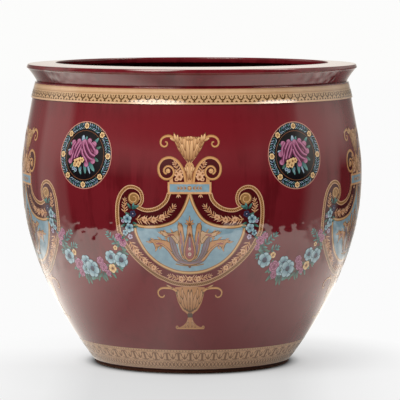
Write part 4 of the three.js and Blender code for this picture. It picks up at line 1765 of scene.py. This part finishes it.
@dataclass
class Studio:
    """White paper floor in a room that is dark in front and open to white at the sides and behind."""

    camera_place: tuple[float, float, float] = (0.0488, -3.7485, 0.5332)
    camera_turn: float = 0.58  # degrees to the left
    camera_tilt: float = 4.846  # degrees down
    lens: float = 253.3
    white: str = "fcfcfb"
    paper_reach: float = 0.66  # from the pot's middle to where the lit paper ends in front
    paper_wave: float = 0.26
    wave_scale: float = 13.0  # waves of its end to a metre
    paper_radius: float = 9.0
    edge_half: Point = (0.004, 0.25)  # half the width of the lit paper's edge, in front and at the sides
    edge_step: Point = (-0.2, -0.06)
    # What the walls and ceiling give, of the plain light level, by degrees from the front.
    room_light: tuple[Point, ...] = pairs(
        "-180,0.45 -130,0.38 -90,0.35 -40,0.56 0,0.6 40,0.36 90,0.18 180,0.45"
    )
    windows: tuple[Window, ...] = (Window(-30, 45, 0.76, 28, 13), Window(78, 45, 0.03, 22, 13))
    # What the camera sees of the paper as a glow, by metres from the pot's middle; the rest keeps the
    # pot's shadow. The glow's level: behind, in front by metres to either side, where it is darker as painted
    # shade, and in the pot's painted shadow.
    glow_shares: tuple[Point, ...] = pairs("0.128,0 0.136,0.45 0.146,0.78 0.16,0.86 0.22,0.94 0.34,1")
    back_glow: float = 0.965
    painted_front_shade: tuple[Point, ...] = pairs("0,0.72 0.12,0.73 0.18,0.85 0.25,0.9 0.35,0.93")
    front_step: Point = (-0.06, 0.12)
    shadow_glow: tuple[Point, ...] = pairs("0.09,0.84 0.15,0.9 0.2,0.97 0.24,1")
    # The paper's colour, by metres from the pot's middle: a painted contact shadow darkens it in the chink
    # under the foot.
    painted_contact_shadow: tuple[Point, ...] = pairs("0.131,0.05 0.138,0.2 0.146,0.65 0.16,1")
    # Painted light and shade on the paper: its colour by metres to the right of the pot's middle, darkest in
    # the middle and lightest on the right, so that it bounces more light onto the pot's lower right.
    painted_paper_light: tuple[Point, ...] = pairs("-0.4,0.65 -0.15,0.6 0,0.42 0.15,0.6 0.3,0.9 0.6,0.92")
    # How bright the paper is in the gloss, by metres to the right of the pot's middle; and the pot's shadow
    # on it, by metres from the shadow's middle.
    paper_half: float = 0.6
    paper_levels: tuple[Point, ...] = pairs(
        "-0.6,2.2 -0.4,2.2 -0.3,2.15 -0.25,1.85 -0.2,1.45 -0.15,1.1 -0.1,1.3 -0.05,1.7 0,1.25 0.03,1.02 "
        "0.06,1.02 0.1,1.28 0.15,1.65 0.2,1.85 0.3,2 0.4,1.9 0.6,1.75"
    )
    gloss_tint: str = "fff8ee"
    shadow_middle: tuple[float, float, float] = (0.08, 0.05, 0.0)
    shadow_levels: tuple[Point, ...] = pairs(
        "0.1,0.25 0.14,0.38 0.18,0.62 0.23,0.85 0.28,0.97 0.33,1 0.42,1.1 0.52,1.35"
    )
    # What the gloss sees round the room, at the floor's level, higher up and at the top: degrees from the
    # front, counted to the right, and how bright it is.
    low_room: tuple[Point, ...] = pairs(
        "-180,0.9 -150,0.3 -128,0.3 -120,0.9 -107,1 -101,0.55 -94,0.5 -90,0.03 -40,0.04 -27,0.15 -14,0.03 "
        "43,0.04 78,0.02 81,0.1 90,0.75 112,0.75 117,0.45 121,0.05 140,0.05 160,0.3 180,0.9"
    )
    high_room: tuple[Point, ...] = pairs(
        "-180,1.5 -165,0.35 -147,0.2 -128,0.4 -121,0.95 -100,1.17 -96,1.15 -89,0.2 -72,0.36 -52,0.58 "
        "-15,0.52 10,0.28 30,0.2 47,0.34 59,0.25 72,0.3 78,0.5 83,1.2 100,1.2 114,1.2 128,1.15 140,0.75 "
        "165,0.35 180,1.5"
    )
    top_room: tuple[Point, ...] = pairs(
        "-180,1.5 -165,0.35 -147,0.2 -128,0.4 -121,0.95 -96,1.1 -89,0.06 -60,0.04 -15,0.1 10,0.02 72,0.04 "
        "78,0.4 83,1.2 114,1.2 128,1.15 140,0.75 165,0.35 180,1.5"
    )
    room_step: Point = (-0.02, 0.15)  # from the one to the other: the ray's rise, as a sine
    top_step: Point = (0.22, 0.31)

    def build(self) -> None:
        """Set everything up."""
        self._camera()
        self._world()
        self._floor()
        for number, window in enumerate(self.windows, 1):
            window.open(f"window_{number}")
        bpy.context.scene.view_settings.view_transform = "Standard"

    def _camera(self) -> None:
        """The camera, at the photograph's place and angle."""
        data = bpy.data.cameras.new("camera")
        data.lens = self.lens
        data.sensor_width = 36.0
        camera = place_object("camera", data)
        camera.location = self.camera_place
        camera.rotation_euler = (math.radians(90 - self.camera_tilt), 0, math.radians(self.camera_turn))
        bpy.context.scene.camera = camera

    def _world(self) -> None:
        """An even white room; only the gloss sees its dark curtains and bright strips."""
        world = bpy.data.worlds.new("studio_room")
        world.use_nodes = True
        tree = world.node_tree
        tree.nodes.clear()
        way = add_node(tree, "TexCoord").outputs["Generated"]
        x, y, z = add_node(tree, "SeparateXYZ", {"Vector": way}).outputs
        back = add_node(tree, "Math", {0: y, 1: -1.0}, operation="MULTIPLY")
        turn = add_node(tree, "Math", {0: x, 1: back}, operation="ARCTAN2")
        share = add_node(tree, "MapRange", {"Value": turn, "From Min": -math.pi, "From Max": math.pi})
        room, high, top, walls = (
            add_node(
                tree, "ValToRGB", {"Fac": share}, [(0.5 + angle / 360, level) for angle, level in levels],
            )
            for levels in (self.low_room, self.high_room, self.top_room, self.room_light)
        )
        for (start, end), upper in ((self.room_step, high), (self.top_step, top)):
            rise = add_node(tree, "MapRange", {"Value": z, "From Min": start, "From Max": end})
            room = add_node(tree, "Mix", {"Factor": rise, 6: room, 7: upper}, data_type="RGBA")
        for window in self.windows:
            room = add_node(tree, "VectorMath", {0: room, 1: window.seen(tree, way)}, operation="ADD")
        white = add_node(tree, "Background", {"Color": self.white, "Strength": 1.0})
        light = add_node(tree, "Background", {"Color": walls, "Strength": 1.0})
        strips = add_node(tree, "Background", {"Color": self.gloss_tint, "Strength": room})
        ray = add_node(tree, "LightPath").outputs
        plain = add_node(tree, "MixShader", {"Fac": ray["Is Camera Ray"], 1: light, 2: white})
        seen = add_node(tree, "MixShader", {"Fac": ray["Is Glossy Ray"], 1: plain, 2: strips})
        add_node(tree, "OutputWorld", {"Surface": seen})
        bpy.context.scene.world = world

    def _by_side(
        self, tree: NodeTree, right: NodeSocket, levels: Sequence[Point]
    ) -> Node:
        """A level by how far a place lies to the right of the pot's middle, in metres."""
        reach = self.paper_half
        side = add_node(tree, "MapRange", {"Value": right, "From Min": -reach, "From Max": reach})
        return add_node(
            tree, "ValToRGB", {"Fac": side}, [(0.5 + x / (2 * reach), level) for x, level in levels],
        )

    def _shadowed(
        self, tree: NodeTree, place: NodeSocket, level: Node, shadow: Sequence[Point]
    ) -> Node:
        """Dim a level by the pot's shadow.

        Args:
            tree: the paper's tree.
            place: the place on the paper.
            level: what is dimmed.
            shadow: what is left of it, by the distance from the shadow's middle in metres.

        Returns:
            The dimmed level.
        """
        away = add_node(tree, "VectorMath", {0: place, 1: self.shadow_middle}, operation="DISTANCE")
        left = add_node(tree, "ValToRGB", {"Fac": away}, shadow)
        return add_node(
            tree, "Mix", {"Factor": 1.0, 6: level, 7: left}, data_type="RGBA", blend_type="MULTIPLY",
        )

    def _paper_glow(self, tree: NodeTree, place: NodeSocket) -> Node:
        """What the camera sees of the paper as a glow, darker in front as painted shade and dimmed by a
        painted shadow of the pot.

        Args:
            tree: the paper's tree.
            place: the place on the paper.

        Returns:
            The glow's shader.
        """
        parts = add_node(tree, "SeparateXYZ", {"Vector": place}).outputs
        side = add_node(tree, "Math", {0: parts["X"]}, operation="ABSOLUTE")
        # painted shade: the glow is darker in front
        front = add_node(tree, "ValToRGB", {"Fac": side}, self.painted_front_shade)
        start, end = self.front_step
        depth = add_node(tree, "MapRange", {"Value": parts["Y"], "From Min": start, "From Max": end})
        back = (self.back_glow, self.back_glow, self.back_glow, 1.0)
        level = add_node(tree, "Mix", {"Factor": depth, 6: front, 7: back}, data_type="RGBA")
        level = self._shadowed(tree, place, level, self.shadow_glow)
        return add_node(tree, "Emission", {"Color": level, "Strength": 1.0})

    def _paper_end(
        self, tree: NodeTree, place: NodeSocket, reach: Node
    ) -> Node:
        """How far past the lit paper's wavy end a place lies: 0 on the paper, 1 past it.

        Args:
            tree: the paper's tree.
            place: the place on the paper.
            reach: its distance from the pot's middle.

        Returns:
            The node that gives the share.
        """
        wave = add_node(tree, "TexNoise", {"Vector": place, "Scale": self.wave_scale, "Detail": 0.5})
        low, high = self.paper_reach - self.paper_wave, self.paper_reach + self.paper_wave
        edge = add_node(tree, "MapRange", {"Value": wave, "To Min": low, "To Max": high})
        depth = add_node(tree, "SeparateXYZ", {"Vector": place}).outputs["Y"]
        (front, side), (crisp, soft) = self.edge_step, self.edge_half
        blur = {"Value": depth, "From Min": front, "From Max": side, "To Min": crisp, "To Max": soft}
        half = add_node(tree, "MapRange", blur)
        start = add_node(tree, "Math", {0: edge, 1: half}, operation="SUBTRACT")
        end = add_node(tree, "Math", {0: edge, 1: half}, operation="ADD")
        return add_node(tree, "MapRange", {"Value": reach, "From Min": start, "From Max": end})

    def _floor(self) -> None:
        """White paper floor; past the lit part in front, the gloss sees the room instead."""
        material, tree = new_tree("white_paper")
        place = add_node(tree, "TexCoord").outputs["Object"]
        right = add_node(tree, "SeparateXYZ", {"Vector": place}).outputs["X"]
        reach = add_node(tree, "VectorMath", {0: place}, operation="LENGTH")
        # painted contact shadow: the paper's colour darkens near the foot
        painted_contact = add_node(tree, "ValToRGB", {"Fac": reach}, self.painted_contact_shadow)
        # painted light and shade: the paper's colour by side
        sides = self._by_side(tree, right, self.painted_paper_light)
        shade = add_node(
            tree, "Mix", {"Factor": 1.0, 6: painted_contact, 7: sides}, data_type="RGBA", blend_type="MULTIPLY",
        )
        paper = add_node(tree, "BsdfDiffuse", {"Color": shade})
        level = self._shadowed(tree, place, self._by_side(tree, right, self.paper_levels), self.shadow_levels)
        bright = add_node(tree, "Emission", {"Color": self.gloss_tint, "Strength": level})
        past = self._paper_end(tree, place, reach)
        glossy = add_node(tree, "MixShader", {"Fac": past, 1: bright, 2: add_node(tree, "BsdfTransparent")})
        ray = add_node(tree, "LightPath").outputs
        share = add_node(tree, "ValToRGB", {"Fac": reach}, self.glow_shares)
        glow = add_node(tree, "Math", {0: ray["Is Camera Ray"], 1: share}, operation="MULTIPLY")
        lit = add_node(tree, "MixShader", {"Fac": glow, 1: paper, 2: self._paper_glow(tree, place)})
        finish_tree(tree, add_node(tree, "MixShader", {"Fac": ray["Is Glossy Ray"], 1: lit, 2: glossy}))
        bm = bmesh.new()
        bmesh.ops.create_circle(bm, cap_ends=True, radius=self.paper_radius, segments=96)
        mesh = mesh_of(bm, "paper_floor")
        mesh.materials.append(material)
        place_object("paper_floor", mesh)


# ---- Putting it together ----------------------------------------------------------------------------------


@dataclass
class Jardiniere:
    """The whole pot with its prints."""

    form: PotForm = field(default_factory=PotForm)
    gloss: Gloss = field(default_factory=Gloss)
    urns: int = 5
    front_pitch: float = 74.0  # degrees from the front urn to each neighbour

    @property
    def urn_turns(self) -> list[float]:
        """Degrees round to each urn."""
        rear = (360 - 2 * self.front_pitch) / (self.urns - 2)
        return [0.0, *(self.front_pitch + i * rear for i in range(self.urns - 1))]

    @property
    def between_turns(self) -> list[float]:
        """Degrees round to the middle between each urn and the next."""
        turns = [*self.urn_turns, 360.0]
        return [(a + b) / 2 for a, b in zip(turns, turns[1:])]

    def build(self) -> None:
        """Make the clay and fire the prints on."""
        glaze = MaroonGlaze().material(self.gloss)
        # The inside's darker glaze is painted shade inside the mouth.
        shaded_lining = MaroonGlaze("brown_lining_glaze", "2b0b09", "350f0c", "350f0c").material(self.gloss)
        # The foot's dark matt brown is darkened as painted shade from the bowl above and the floor contact.
        shaded_foot_brown = Biscuit("brown_foot_wash", "3c2014", "2e170e", 1.25).material()
        Pot(self.form, glaze, shaded_lining, Biscuit().material(), shaded_foot_brown).build()
        kiln = Kiln(self.gloss)
        form = self.form
        borders = [  # its kind, bottom, top, repeats and names
            (CollarBorder, form.shoulder_z + 0.1, form.neck_z - 1.7, 112, "collar", "upper"),
            (FootBorder, form.foot_height + 0.7, form.foot_height + 28.3, 60, "foot", "lower"),
        ]
        for border, bottom, top, repeats, name, place in borders:
            names = (f"printed_{name}_border", f"{place}_border_transfer")
            border(form, bottom, top, repeats, *names).build(kiln)
        wall = Skin(form.at_height, form.belly_radius)
        runs = [
            (UrnPrint().draw(), "printed_urn", "urn_transfer", "urn_print", self.urn_turns),
            (
                MedallionPrint().draw(), "printed_rose_medallion", "rose_medallion_transfer", "rose_print",
                self.between_turns,
            ),
            (
                GarlandPrint().draw(), "printed_garland", "garland_transfer", "garland_print",
                self.between_turns,
            ),
        ]
        for sheet, name, node, slot, turns in runs:
            kiln.bend(sheet, wall)
            mesh = kiln.fire(sheet, wall, name)
            for number, turn in enumerate(turns, 1):
                kiln.apply_turned(mesh, wall, turn, f"{name}_{number}", f"{node}_{number}")


def main() -> None:
    """Build the studio and the jardiniere."""
    logging.basicConfig(level=logging.INFO, format="%(name)s: %(message)s")
    Studio().build()
    Jardiniere().build()


if __name__ == "__main__":
    main()
